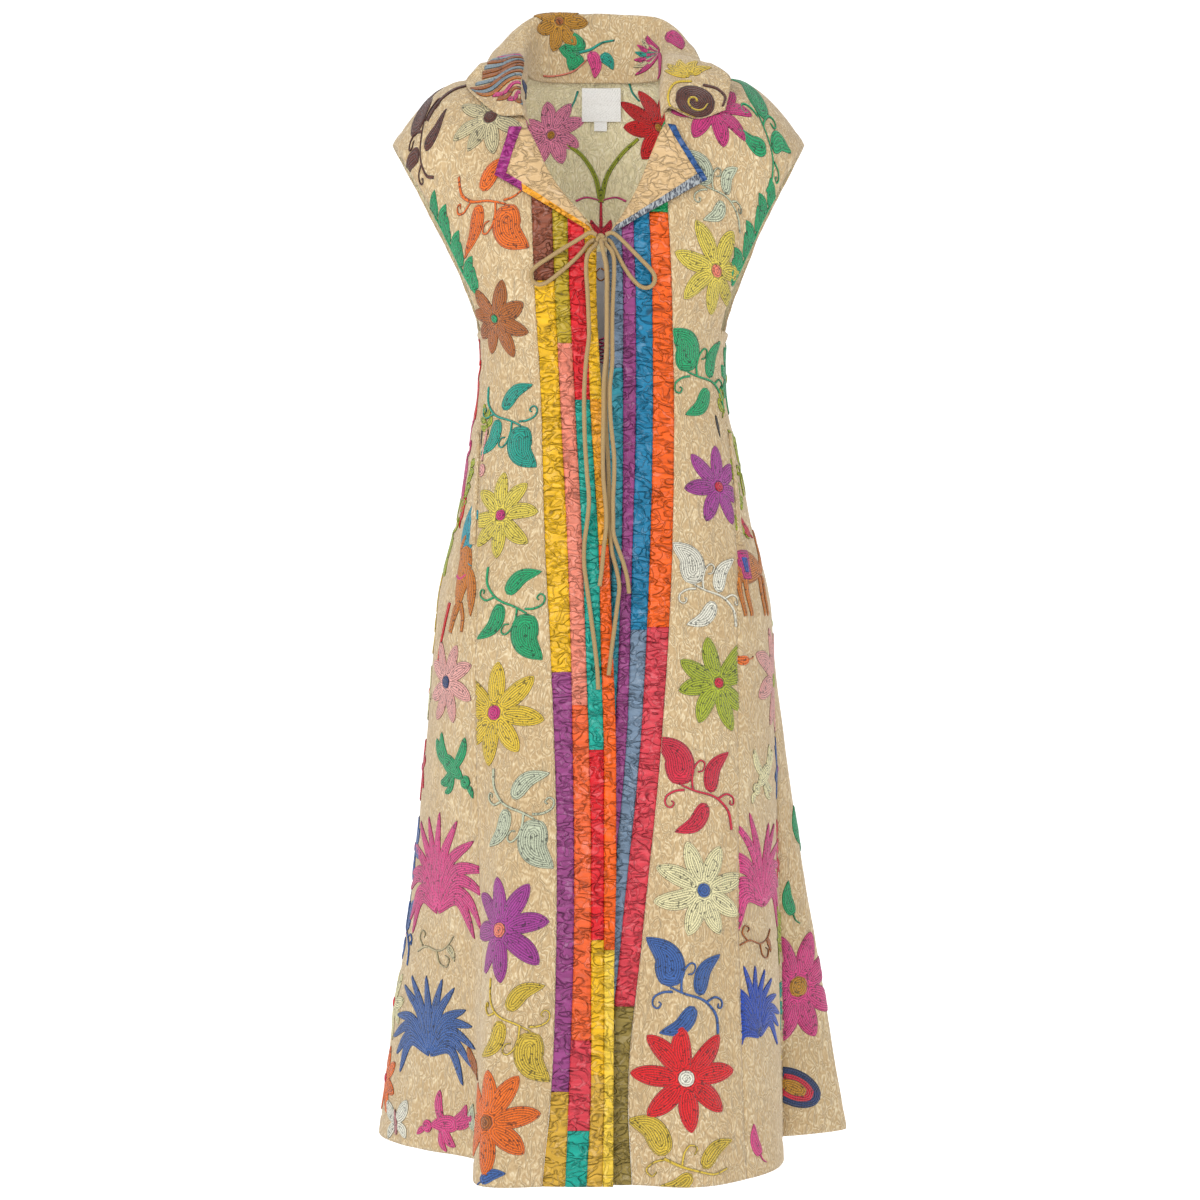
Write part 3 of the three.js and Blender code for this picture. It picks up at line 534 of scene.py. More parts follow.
def satin_material(name, code, depth=1.0):
    """Shiny cloth, puckered into short creases by its rows of stitching, with painted highlights
    along the creases' ridges and painted shade in their grooves.
    """
    made, tree, shader = start_material("satin_" + name, 0.36, 0.0, 0.3)
    base = linear(code)
    where = place(tree, (1, 1, 1.25))
    ridge = thin_lines(tree, where, 56, 9)
    groove = thin_lines(tree, place(tree, (0.8, 0.8, 1.5)), 64, 8)
    across = speckle(tree, place(tree, (0.25, 0.25, 1)), 190, 1.0, 0.3)
    thread = speckle(tree, where, 900, 1.0)
    # Painted light: the crease ridges lighten the colour as painted highlights and the grooves
    # darken it as painted shade, over a random tone from the cross noise.
    level = maths(tree, "MULTIPLY_ADD", ridge, 0.3, maths(tree, "MULTIPLY", across, 0.5))
    level = maths(tree, "MULTIPLY_ADD", groove, -0.2, maths(tree, "ADD", level, 0.18))
    # Colour stops: painted shade at the bottom, as dark as depth asks, and a painted highlight
    # mixed toward white at the top.
    colour = ramp(tree, level, (
        (0.12, tinted(base, 1 - 0.75 * depth)), (0.32, tinted(base, 1 - 0.3 * depth)),
        (0.5, tinted(base, 0.98)), (0.9, tuple(mix(c, 1, 0.12) for c in base))))
    height = maths(tree, "MULTIPLY_ADD", across, 0.8, maths(tree, "SUBTRACT", ridge, groove))
    rough = maths(tree, "MULTIPLY_ADD", thread, 0.14, 0.3)
    finish_material(tree, shader, colour, height, 0.0018, 0.9, rough)
    return made


STITCH_ROW = 2.5
STITCH_LENGTH = 3.0


def thread_material():
    """Rows of chain stitch that follow each motif's outline, in the colour of its yarn, with
    painted shade between the rows and stitches and in small dark flecks.
    """
    made, tree, shader = start_material("embroidery_thread", 0.62, 0.2, 0.4)
    paint = add(tree, "ShaderNodeAttribute", attribute_name="thread")
    rows_of = add(tree, "ShaderNodeUVMap", uv_map="stitch")
    parts = add(tree, "ShaderNodeSeparateXYZ", {"Vector": rows_of.outputs["UV"]})
    along, inward = parts.outputs["X"], parts.outputs["Y"]
    row = maths(tree, "DIVIDE", inward, STITCH_ROW)
    wave = maths(tree, "ABSOLUTE", maths(tree, "SINE", maths(tree, "MULTIPLY", row, math.pi)))
    shift = maths(tree, "MULTIPLY", maths(tree, "FLOOR", row), 1.4)
    phase = maths(tree, "MULTIPLY_ADD", along, 2 * math.pi / STITCH_LENGTH, shift)
    link = maths(tree, "MULTIPLY_ADD", maths(tree, "SINE", phase), 0.5, 0.5)
    grain = speckle(tree, place(tree), 520, 2.0)
    patch = speckle(tree, place(tree), 60, 2.0)
    height = maths(tree, "MULTIPLY_ADD", link, 0.35, wave)
    height = maths(tree, "MULTIPLY_ADD", grain, 0.5, height)
    level = maths(tree, "MULTIPLY_ADD", height, 0.42, maths(tree, "MULTIPLY", patch, 0.35))
    # Painted shade: the colour darkens where the stitch relief is low, between rows and stitches,
    # mixed with a random tone.
    shade = ramp(tree, level, (
        (0.22, (0.25, 0.25, 0.25)), (0.46, (0.7, 0.7, 0.7)), (0.72, (1, 1, 1)),
        (0.95, (1, 1, 1))))
    # Painted shade in small dark flecks, for the gaps between the stitches.
    specks = speckle(tree, place(tree), 330, 0.0)
    gaps = ramp(tree, specks, ((0.66, (1, 1, 1)), (0.73, (0.35, 0.35, 0.35))))
    # The thread attribute brings the yarn colour together with each ribbon's painted rim shade.
    colour = paint.outputs["Color"]
    for layer in (shade, gaps):
        colour = add(tree, "ShaderNodeMix", {"Factor": 1.0, 6: colour, 7: layer},
                     data_type="RGBA", blend_type="MULTIPLY").outputs[2]
    finish_material(tree, shader, colour, height, 0.0013, 1.0)
    return made


def woven_material(name, code, roughness, pitch, sheen=0.1):
    """Plain woven cloth or braid with a fine thread pattern."""
    made, tree, shader = start_material(name, roughness, sheen, 0.3)
    base = linear(code)
    where = place(tree)
    warp = add(tree, "ShaderNodeTexWave", {"Vector": where, "Scale": pitch, "Distortion": 1.5,
                                           "Detail": 1.0}, bands_direction="DIAGONAL")
    grain = speckle(tree, where, 700, 2.0)
    level = maths(tree, "MULTIPLY_ADD", warp.outputs["Fac"], 0.45,
                  maths(tree, "MULTIPLY", grain, 0.6))
    colour = ramp(tree, level, (
        (0.2, tinted(base, 0.72)), (0.5, base), (0.85, tinted(base, 1.18))))
    finish_material(tree, shader, colour, level, 0.0005, 0.7)
    return made


def patterned_material():
    """Grey cloth with short dark streaks, for the right lapel's lower edge."""
    made, tree, shader = start_material("patterned_grey", 0.5, 0.1, 0.4)
    streaks = speckle(tree, place(tree, (1.6, 1, 0.5)), 430, 1.0, 0.3)
    folds = speckle(tree, place(tree), 120, 2.0)
    colour = ramp(tree, streaks, (
        (0.42, linear("#383c48")), (0.52, linear("#848a90")), (0.64, linear("#a6abad"))))
    finish_material(tree, shader, colour, maths(tree, "ADD", streaks, folds), 0.0012, 0.8)
    return made


GROUND = ground_material("embroidered_ground", ("#a58a65", "#bea37a", "#cab28a", "#e6d8b7"))
# A grey cloth that paints the shade on the inside of the back, fronts and sides, in place of
# their beige reverse.
SHADE_GREY = woven_material("grey_painted_shade", "#a5a5aa", 0.6, 260)
INSIDE = ground_material("cloth_reverse", ("#c6ba92", "#e3d8b0", "#ece1bd", "#fbf5de"))
PATTERNED = patterned_material()
FACING = satin_material("facing", "#cfae7f", 0.22)
LABEL = woven_material("white_tape", "#f1f1ef", 0.7, 400)
CORD = woven_material("khaki_cord", "#a2875a", 0.55, 330, 0.2)
THREAD = thread_material()
SATIN = {name: satin_material(name, code) for name, code in SATINS.items()}


CURVE_SAMPLES = 24


def smooth_curve(points, spacing):
    """Points at even distances along a centripetal Catmull-Rom curve."""
    points = np.array(points, float)
    ends = 2 * points[0] - points[1], 2 * points[-1] - points[-2]
    full = np.vstack([ends[0], points, ends[1]])
    dense = []
    for k in range(1, len(full) - 2):
        p = full[k - 1:k + 3]
        gaps = np.maximum(np.linalg.norm(np.diff(p, axis=0), axis=1), 1e-6) ** 0.5
        t = np.concatenate([[0], np.cumsum(gaps)])
        at = np.linspace(t[1], t[2], CURVE_SAMPLES, endpoint=False)[:, None]
        a = [((t[m + 1] - at) * p[m] + (at - t[m]) * p[m + 1]) / gaps[m] for m in range(3)]
        b = [((t[m + 2] - at) * a[m] + (at - t[m]) * a[m + 1]) / (t[m + 2] - t[m])
             for m in range(2)]
        dense.append(((t[2] - at) * b[0] + (at - t[1]) * b[1]) / gaps[1])
    dense = np.vstack([*dense, points[-1]])
    reach = distances(dense)
    count = max(2, int(round(reach[-1] / spacing)))
    at = np.linspace(0, reach[-1], count + 1)
    return np.stack([np.interp(at, reach, dense[:, k]) for k in range(dense.shape[1])], -1)


# The tie: routes of its loops and tails, the same points as in the part's source
CORD_DIAMETER = 4.6
TIE_ROUTES = {
    "tie_loop_left": (
        (-5.5, -132.7, 997.3), (-8.2, -133.7, 999), (-12.5, -133.8, 999.4),
        (-18.5, -132.6, 996), (-30, -130.6, 989.4), (-43, -128.9, 981.8), (-57, -127.2, 973),
        (-70.6, -125.4, 964), (-75.4, -124.4, 957.8), (-74.4, -124, 950), (-68.2, -124, 945.3),
        (-60.4, -124.8, 946.4), (-50, -126, 953.4), (-38, -127.1, 963), (-27, -127.8, 973),
        (-18.4, -127.9, 982.4), (-14.6, -127.7, 987.8), (-10.6, -127.7, 991.3),
        (-6.9, -128.8, 992.8)),
    "tie_loop_right": (
        (5.5, -132.7, 997.3), (8.2, -133.7, 999), (12.5, -133.8, 999.2), (18.5, -132.6, 995.4),
        (31, -130.9, 983.4), (43, -129.6, 971.4), (55.2, -128, 958.4), (58.2, -127.3, 951.2),
        (55.2, -127, 943.9), (47.9, -127, 941), (40.6, -127.4, 943.9), (32, -127.8, 953),
        (24.6, -128.1, 964), (18.4, -128.1, 975.5), (13.2, -127.9, 985.4),
        (10.3, -127.7, 990.9), (6.9, -128.8, 992.8)),
    "tie_tail_left": (
        (-4.4, -132.3, 988.6), (-6.6, -133.4, 985.5), (-11, -134.4, 981.5), (-15, -134.2, 974),
        (-16, -133.9, 960), (-14.5, -133.4, 935), (-13.5, -133.4, 912), (-13, -133.4, 888),
        (-16, -133.4, 862), (-18, -133.4, 830), (-18, -133.4, 798), (-17, -133.4, 770),
        (-15, -133.4, 740), (-13, -133.4, 712), (-15, -133.4, 688), (-18, -134.9, 665),
        (-18, -137.9, 642), (-15.5, -141.9, 622), (-12.5, -145.9, 600), (-9.5, -149.9, 577),
        (-6.5, -153.9, 554), (-4, -157.9, 530), (-3, -161.4, 510)),
    "tie_tail_right": (
        (4.4, -132.3, 988.6), (6.6, -133.4, 985.5), (10.5, -134.4, 981), (13.5, -134.2, 973),
        (14, -133.9, 956), (13, -133.4, 935), (12, -133.4, 910), (12, -133.4, 885),
        (12, -133.4, 860), (9.5, -133.4, 834), (10, -133.4, 802), (12, -133.4, 780),
        (14, -133.4, 760), (14, -133.4, 737), (13, -133.4, 716), (13, -133.4, 694),
        (13.5, -133.4, 676), (18.5, -134.4, 660), (24.5, -135.4, 643), (28.5, -136.4, 626),
        (30, -137.4, 612)),
    "tie_tail_middle": (
        (0, -136.4, 990.4), (0.2, -138.7, 988), (2, -139.9, 979), (4.5, -139.2, 968),
        (6, -138.1, 953), (6, -137.4, 930), (6, -136.9, 900), (5.5, -136.4, 870),
        (3, -135.9, 840), (2.5, -135.4, 805), (2, -135.4, 770), (2.5, -135.4, 735),
        (5, -135.4, 706), (5.5, -135.9, 684), (3, -137.4, 662), (1, -140.9, 640),
        (-1.5, -144.4, 620)),
    "tie_tail_inner": (
        (0.3, -127.7, 988.1), (0.8, -126.7, 985.2), (3.5, -127.7, 977), (6, -128.6, 967),
        (7, -128.6, 948), (7, -128.2, 925), (7, -127.9, 895), (6.5, -127.9, 865),
        (5, -127.9, 835), (5, -127.9, 800), (6.5, -127.9, 775), (8, -127.9, 750),
        (8.5, -127.9, 725), (8.5, -128.6, 700), (10, -130.4, 678), (12, -131.9, 656),
        (16.5, -133.9, 638), (19.5, -137.9, 620), (17.5, -144.2, 600), (14.5, -148.9, 577),
        (11, -153.9, 550), (8, -158.7, 525)),
}
KNOT = {"x": 0, "y": -130.9, "h": 993.5, "width": 14, "depth": 11, "height": 12}


def make_cords():
    for name, route in TIE_ROUTES.items():
        line = smooth_curve(route, 3)
        curve = bpy.data.curves.new(name + "_cord", "CURVE")
        curve.dimensions = "3D"
        curve.bevel_depth = CORD_DIAMETER / 2000
        curve.bevel_resolution = 3
        curve.use_fill_caps = True
        spline = curve.splines.new("POLY")
        spline.points.add(len(line) - 1)
        placed = in_metres(line)
        spline.points.foreach_set("co", np.column_stack([placed, np.ones(len(line))]).ravel())
        spline.use_smooth = True
        curve.materials.append(CORD)
        obj = bpy.data.objects.new(name + "_cord", curve)
        bpy.context.scene.collection.objects.link(obj)
        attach(obj, "root")
        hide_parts(name)


def tube(line, radius, sides):
    """Vertices and faces of a round tube along a closed line of points."""
    ahead = unit(np.roll(line, -1, axis=0) - np.roll(line, 1, axis=0))
    side = unit(np.cross(ahead, np.array([0.21, 0.93, 0.3])))
    up = np.cross(side, ahead)
    turns = 2 * np.pi * np.arange(sides) / sides
    rings = (line[:, None] + radius * (np.cos(turns)[None, :, None] * side[:, None]
                                       + np.sin(turns)[None, :, None] * up[:, None]))
    faces = []
    for i in range(len(line)):
        k = (i + 1) % len(line)
        for j in range(sides):
            m = (j + 1) % sides
            faces.append([i * sides + j, k * sides + j, k * sides + m, i * sides + m])
    return rings.reshape(-1, 3), faces


def make_knot():
    """The cord's turns round itself where it is tied."""
    t = np.linspace(0, 2 * np.pi, 90, endpoint=False)
    turns = np.stack([(2 + np.cos(3 * t)) * np.cos(2 * t), np.sin(3 * t),
                      (2 + np.cos(3 * t)) * np.sin(2 * t)], -1)
    inner = np.array([KNOT[key] for key in ("width", "depth", "height")]) / 2
    inner = inner - CORD_DIAMETER / 2
    middle = np.array([KNOT["x"], KNOT["y"], KNOT["h"]])
    line = turns / np.array([3, 1, 3]) * inner + middle
    vertices, faces = tube(line, CORD_DIAMETER / 2 - 0.1, 10)
    obj = new_object("tie_knot_turns", vertices, faces, [CORD])
    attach(obj, "root")
    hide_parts("tie_knot")


def make_camera():
    camera = bpy.data.objects.new("camera", bpy.data.cameras.new("camera"))
    bpy.context.scene.collection.objects.link(camera)
    camera.location = (
        (IMAGE_MIDDLE - CENTRE_PIXEL) * PIXEL / 1000, -CAMERA_DISTANCE / 1000,
        (CAMERA_HEIGHT - HELD_HEIGHT) / 1000)
    camera.rotation_euler = (math.radians(90), 0, 0)
    camera.data.sensor_width = SENSOR
    camera.data.lens = SENSOR * CAMERA_DISTANCE / (2 * IMAGE_MIDDLE * PIXEL)
    camera.data.clip_end = 30
    bpy.context.scene.camera = camera


# Cloth pieces
SIDE_SEAM_BACK = {-1: -95, 1: 89}
UPPER_ROWS = 58
HEM_BAND = 18
ARMHOLE_BAND = 9


def seam_angle(side, h):
    return read(RINGS, "seam_left" if side < 0 else "seam_right", h)


def upper_drops(count):
    """Shares of the drop from the shoulder to the underarm, closest over the shoulder."""
    return (1 - np.cos(np.linspace(0, np.pi / 2, count))) ** 1.15


def hem_relief(points):
    """A turned-up hem: a slightly thicker band with its row of stitches drawn in."""
    h = points[..., 2]
    thick = 0.5 * smooth_step((HEM_BAND + 2 - h) / 3)
    return thick - 0.7 * np.exp(-((h - HEM_BAND) / 1.4) ** 2)


def armhole_relief(away):
    """The same along an armhole, by the distance from its edge."""
    thick = 0.6 * smooth_step((ARMHOLE_BAND - away) / 3)
    return thick - 0.6 * np.exp(-((away - ARMHOLE_BAND) / 1.4) ** 2)


def front_panel(side):
    top = SHOULDER_SIDE - 0.3
    across = np.linspace(0, 1, 45)[None, :]
    rise = 1 - upper_drops(UPPER_ROWS)[:, None]
    inner_h = mix(UNDERARM, top, rise)
    edge = NECK_EDGE[side]
    inner = np.where(inner_h > edge["h"][0], read(edge, "x", inner_h),
                     read(STRIP_EDGES[side], "outer", inner_h)) + side * SEAM_GAP
    outer = armhole_x(mix(UNDERARM, TIP_HEIGHT, rise), side)
    x = mix(inner, outer, across)
    top_x = mix(read(edge, "x", top), armhole_x(TIP_HEIGHT, side), across)
    h = mix(UNDERARM, np.minimum(ridge_height(top_x), top), rise)
    upper, upper_normals = chest_spots(x, h, -1)
    upper_normals[0] = (0, 0, 1)
    away = np.abs(outer - x)
    heights = np.linspace(UNDERARM, 0, int(UNDERARM / GRID))[1:, None]
    start = angle_at_x(read(STRIP_EDGES[side], "outer", heights) + side * SEAM_GAP, heights, side)
    degrees = mix(start, seam_angle(side, heights), across)
    lower, lower_normals = ring_spots(degrees, heights + 0 * across, side > 0)
    points = np.concatenate([upper, lower])
    normals = np.concatenate([upper_normals, lower_normals])
    relief = np.concatenate([armhole_relief(away), hem_relief(lower)])
    shell("front_" + SIDE_NAMES[side], points, normals, [GROUND, SHADE_GREY, INSIDE],
          relief=relief, shade_grey_below=1010, nodes=["front_panel_" + SIDE_NAMES[side]])


def side_panel(side):
    across = np.linspace(0, 1, 49)[None, :]
    heights = np.linspace(UNDERARM - 1, 0, int(UNDERARM / GRID))[:, None]
    degrees = mix(seam_angle(side, heights), SIDE_SEAM_BACK[side], across)
    points, normals = ring_spots(degrees, heights + 0 * across, side > 0)
    away = UNDERARM - 1 - points[..., 2]
    shell("side_" + SIDE_NAMES[side], points, normals, [GROUND, SHADE_GREY, INSIDE],
          relief=hem_relief(points) + armhole_relief(away), shade_grey_below=UNDERARM,
          nodes=["side_panel_" + SIDE_NAMES[side]])


def neckline(x):
    neck = np.where(x < 0, NECK_LEFT, NECK_RIGHT)
    return NAPE_HEIGHT - (NAPE_HEIGHT - SHOULDER_SIDE) * (x / neck) ** 2


def back_panel():
    across = np.linspace(-1, 1, 131)[None, :]
    start = ring_point(SIDE_SEAM_BACK[-1], UNDERARM)[0]
    end = ring_point(SIDE_SEAM_BACK[1], UNDERARM)[0]
    rise = 1 - upper_drops(UPPER_ROWS)[:, None]
    level = mix(UNDERARM, TIP_HEIGHT, rise)

    def reach_at(side, low):
        wide = np.abs(armhole_x(TIP_HEIGHT, side))
        grow = (np.abs(armhole_x(level, side)) - UNDERARM_X) / (wide - UNDERARM_X)
        return mix(low - 0.5, wide, grow)

    reach = np.where(across < 0, reach_at(-1, -start), reach_at(1, end))
    x = across * reach
    wide = np.where(across < 0, -armhole_x(TIP_HEIGHT, -1), armhole_x(TIP_HEIGHT, 1))
    top_x = across * wide
    over_neck = (top_x > NECK_LEFT) & (top_x < NECK_RIGHT)
    ridge = np.where(over_neck, neckline(top_x), ridge_height(top_x))
    upper, upper_normals = chest_spots(x, mix(UNDERARM, ridge, rise), 1)
    upper_normals[0] = np.where(over_neck.T, upper_normals[0], (0, 0, 1))
    away = np.abs(reach - np.abs(x))
    heights = np.linspace(UNDERARM, 0, int(UNDERARM / GRID))[1:, None]
    degrees = mix(SIDE_SEAM_BACK[-1], SIDE_SEAM_BACK[1] - 360, (across + 1) / 2)
    lower, lower_normals = ring_spots(degrees, heights + 0 * across)
    points = np.concatenate([upper, lower])
    normals = np.concatenate([upper_normals, lower_normals])
    relief = np.concatenate([armhole_relief(away), hem_relief(lower)])
    shell("back", points, normals, [GROUND, SHADE_GREY, INSIDE], relief=relief,
          shade_grey_below=1020, nodes=["back_panel"])
    wave = softness(points)[..., None]
    carriers["back_inside"] = (points + normals * (-CLOTH / 2 + wave), -normals)


# The patchwork strips
STRIP_STEP = 2.6


def strip_x(side, strip, share, h):
    edges = STRIP_EDGES[side]
    inner = STRIPS[STRIPS.index(strip) + 1]
    return mix(read(edges, strip, h) - side * SEAM_GAP, read(edges, inner, h), share)


def strip_spots(side, strip, shares, h):
    x = strip_x(side, strip, shares, h)
    high, high_normals = chest_spots(x, h, -1)
    degrees = angle_at_x(x, np.minimum(h, UNDERARM), side)
    low, low_normals = ring_spots(degrees, np.minimum(h, UNDERARM), side > 0)
    above = (h >= UNDERARM)[..., None]
    return np.where(above, high, low), np.where(above, high_normals, low_normals)


def strip_relief(points, shares, seed):
    """Short sharp creases that lean both ways over a strip, with gathers beside its seams."""
    x, h = points[..., 0], points[..., 2]
    one = 1 - np.abs(noise(x / 16 + h / 31, h / 10, seed))
    two = 1 - np.abs(noise(x / 9 - h / 22, h / 17, seed + 40))
    gather = noise(h / 4.5, shares * 1.5, seed + 80) * (np.abs(shares - 0.5) * 2) ** 2
    crown = 0.8 * np.sqrt(np.clip(1 - (2 * shares - 1) ** 4, 0, 1))
    return crown + 0.9 * (one ** 5 - 0.4) + 0.6 * (two ** 6 - 0.3) + 0.35 * gather - 0.3


def make_strips():
    for side, strips in PATCHES.items():
        for number, (strip, patches) in enumerate(strips.items()):
            top = None
            for order, (colour, bottom) in enumerate(patches):
                stem = f"strip_{SIDE_NAMES[side]}_{number + 1}_{order + 1}_{colour}"
                shares = np.linspace(0, 1, 10)[None, :]
                start = strip_x(side, strip, shares, ROLL_START)
                summit = read(ROLL[side], "top", start) if top is None else top + 0 * shares
                count = int((float(summit.mean()) - bottom) / STRIP_STEP)
                h = mix(summit, bottom, np.linspace(0, 1, count + 1)[:, None])
                points, normals = strip_spots(side, strip, shares + 0 * h, h)
                relief = strip_relief(points, shares + 0 * h, 7 * number + order + 3 * side)
                ends = np.minimum(np.arange(count + 1), np.arange(count + 1)[::-1])
                relief = relief - 0.6 * np.exp(-ends[:, None] / 1.2)
                shell(stem + "_cloth", points, normals, [SATIN[colour]], low=-1.1, high=1.2,
                      relief=relief, nodes=[stem], seam=0.8)
                top = bottom


# Lapels: the corners of each as x and height, and the names and cloths of its two bindings
LAPELS = {
    -1: {"roll_top": (-80, 1117), "top": (-97, 1118), "corner": (-114, 1066),
         "end": (-4.5, 997.5), "side_trim": "magenta", "side_cloth": SATIN["magenta"],
         "lower_trim": "yellow", "lower_cloth": SATIN["amber"]},
    1: {"roll_top": (69, 1122), "top": (77, 1119), "corner": (114, 1061),
        "end": (7, 997.5), "side_trim": "blue", "side_cloth": SATIN["navy"],
        "lower_trim": "slate", "lower_cloth": PATTERNED},
}
LAPEL_BINDING = {-1: (12, 9), 1: (6, 11)}

# The left lapel's corner patch: where its width is measured, and where it starts
PATCH_MEASURED_AT = 0.86
PATCH_START = 0.72


def lapel_point(side, down, across):
    lapel = LAPELS[side]
    roll_x = mix(lapel["roll_top"][0], lapel["end"][0], down)
    roll_h = mix(lapel["roll_top"][1], lapel["end"][1], down)
    roll_h = mix(roll_h, read(ROLL[side], "top", roll_x), np.sin(np.pi * down))
    outer_x = mix(lapel["top"][0], lapel["corner"][0], down)
    outer_h = mix(lapel["top"][1], lapel["corner"][1], down)
    x, h = mix(roll_x, outer_x, across), mix(roll_h, outer_h, across)
    lift = 1.9 + 5 * np.sin(np.pi * np.minimum(1, across * 0.75)) * (1 - 0.5 * down)
    return upper_point(x, h, -1) + lift[..., None] * np.array([side * 0.25, -1, 0.12])


def lapel_piece(side, down, across, name, node, made, quilted=False, raised=0):
    points, normals = spots(lambda a, b: lapel_point(side, a, b), down, across, 0.02, 0.02,
                            side)
    x, h = points[..., 0], points[..., 2]
    if quilted:
        rows_of = np.abs(np.sin(np.pi * (down * 5 + 0.5 * noise(x / 14, h / 14, 21))))
        relief = 0.5 * rows_of ** 0.5 - 0.2 + 0.35 * noise(x / 9, h / 9, 9)
    else:
        relief = 0.8 * (1 - np.abs(noise(x / 6, h / 6, 31))) ** 3 - 0.2
    shell(name, points, normals, [made], low=0.1 + raised, high=1.8 + raised,
          relief=relief, nodes=[node], seam=0.5)


def lapel_length(side, down, across):
    """Distance between two spots of a lapel."""
    one, other = [lapel_point(side, *np.broadcast_arrays(a, b)) for a, b in zip(down, across)]
    return np.linalg.norm(other - one, axis=-1)


def make_lapels():
    """Each lapel's facing, and over its two free edges a binding of the same width all along."""
    ones = np.ones((34, 26))
    down = np.linspace(0, 1, 34)[:, None] * ones
    across = np.linspace(0, 1, 26)[None, :] * ones
    for side, lapel in LAPELS.items():
        node = "lapel_" + SIDE_NAMES[side]
        side_width, lower_width = LAPEL_BINDING[side]
        lapel_piece(side, down * 0.97, across * 0.985, node + "_facing", node, FACING,
                    True)
        trim = lapel["lower_trim"]
        reach = lapel_length(side, (0 * across, 0 * across + 1), (across, across))
        start = 1 - np.minimum(lower_width / reach, 0.6)
        lower = mix(start, 1, down)
        lapel_piece(side, lower, mix(0.03, 1, across), node + "_lower_binding",
                    f"{node}_lower_trim_{trim}", lapel["lower_cloth"],
                    raised=0.9)
        if side < 0:
            measured = PATCH_MEASURED_AT + 0 * down
            reach = lapel_length(side, (0 * down, 0 * down + 1), (measured, measured))
            start = 1 - np.minimum(lower_width / reach, 0.6)
            lapel_piece(side, mix(start, 1, down), mix(PATCH_START, 1, across),
                        node + "_corner", f"{node}_side_trim_magenta", SATIN["magenta"],
                        raised=1.3)
        trim = lapel["side_trim"]
        reach = lapel_length(side, (down, down), (0 * down, 0 * down + 1))
        start = 1 - np.minimum(side_width / reach, 0.8)
        lapel_piece(side, down, mix(start, 1, across), node + "_side_binding",
                    f"{node}_side_trim_{trim}", lapel["side_cloth"],
                    raised=1.8)


# The collar: steps from the neck seam to its roll and its edge, from the nape to the front end
COLLAR_COLUMNS = "h roll_x roll_y roll_h edge_x edge_y edge_h sag"
COLLAR = {
    -1: rows(
        COLLAR_COLUMNS,
        (0, 0, 3, 76, 0, 16, 67, 2),
        (0.25, -15, -2, 70, -46, 0, 42, 6),
        (0.5, -2, 2, 17, -47, -4, 6, 4),
        (0.75, -3, -5, 8, -64, 28, 14, 2),
        (1, -4, -6, 4, -56, 14, 28, -10),
    ),
    1: rows(
        COLLAR_COLUMNS,
        (0, 0, 3, 76, 0, 16, 67, 2),
        (0.25, 18, -2, 66, 42, 0, 44, 6),
        (0.5, -1, 2, 16, 44, -4, 5, 4),
        (0.75, 4, -5, 8, 77, 12, 8, 2),
        (1, 5, -6, 4, 68, 6, 4, -12),
    ),
}
COLLAR_FRONT_END = {-1: 1127, 1: 1136}
COLLAR_SEAT = 1.5
COLLAR_INSET = 0.98
COLLAR_CLEARANCE = 4
COLLAR_WIDTH = 90


def outside_by(points):
    """Distance outside the shoulders and chest, as a share of their size."""
    x, y, h = points[..., 0], points[..., 1], points[..., 2]
    sense = np.where(y < SHOULDER_SEAM_Y, -1, 1)
    depth = np.abs(chest_depth(x, h, sense) - SHOULDER_SEAM_Y)
    drop = (ridge_height(x) - h) / SHOULDER_ROUND
    up = np.clip(1 - drop, 0, 1) + np.maximum(0, -drop)
    return np.hypot((y - SHOULDER_SEAM_Y) / depth, up) - 1


def keep_clear(points, clearance):
    moved = np.array(points, float)
    for _ in range(4):
        value = outside_by(moved)
        slope = np.stack([(outside_by(moved + step) - value) / 0.5
                          for step in 0.5 * np.eye(3)], -1)
        size = np.linalg.norm(slope, axis=-1)
        short = np.maximum(0, clearance - value / size)
        moved = moved + slope / size[..., None] * short[..., None]
    return moved


def neck_seam(side, along):
    neck_x = NECK_LEFT if side < 0 else NECK_RIGHT
    if along <= 0.5:
        x = neck_x * math.sin(math.pi * along)
        point = upper_point(x, neckline(x), 1)
        return np.array([x * COLLAR_INSET, point[1], point[2] + COLLAR_SEAT])
    h = mix(SHOULDER_SIDE, COLLAR_FRONT_END[side], (along - 0.5) * 2)
    x = read(NECK_EDGE[side], "x", h) * COLLAR_INSET
    return upper_point(x, h, -1) + np.array([0, 0, COLLAR_SEAT])


def collar_line(side, along, count):
    seam = neck_seam(side, along)
    roll = seam + [read(COLLAR[side], "roll_" + axis, along) for axis in "xyh"]
    edge = seam + [read(COLLAR[side], "edge_" + axis, along) for axis in "xyh"]
    edge = keep_clear(edge, COLLAR_CLEARANCE)
    middle = (roll + edge) / 2 + [0, 0, float(read(COLLAR[side], "sag", along))]
    middle = keep_clear(middle, COLLAR_CLEARANCE)
    curve = smooth_curve([seam, (seam + roll) / 2, roll, middle, edge], 1)
    at = np.linspace(0, len(curve) - 1, count)
    line = np.stack([np.interp(at, np.arange(len(curve)), curve[:, k]) for k in range(3)], -1)
    falls = np.linalg.norm(line - seam, axis=1) > np.linalg.norm(roll - seam)
    falls &= np.arange(count) > 0.22 * count
    line = np.where(falls[:, None], keep_clear(line, COLLAR_CLEARANCE - 1), line)
    inward = np.array([-seam[0], -seam[1] - 20, 0])
    inward = inward / np.linalg.norm(inward)
    tucked = [seam + inward * 2.4 * share + np.array([0, 0, -5.5 * share])
              for share in (1, 0.6, 0.25)]
    return np.vstack([tucked, line])


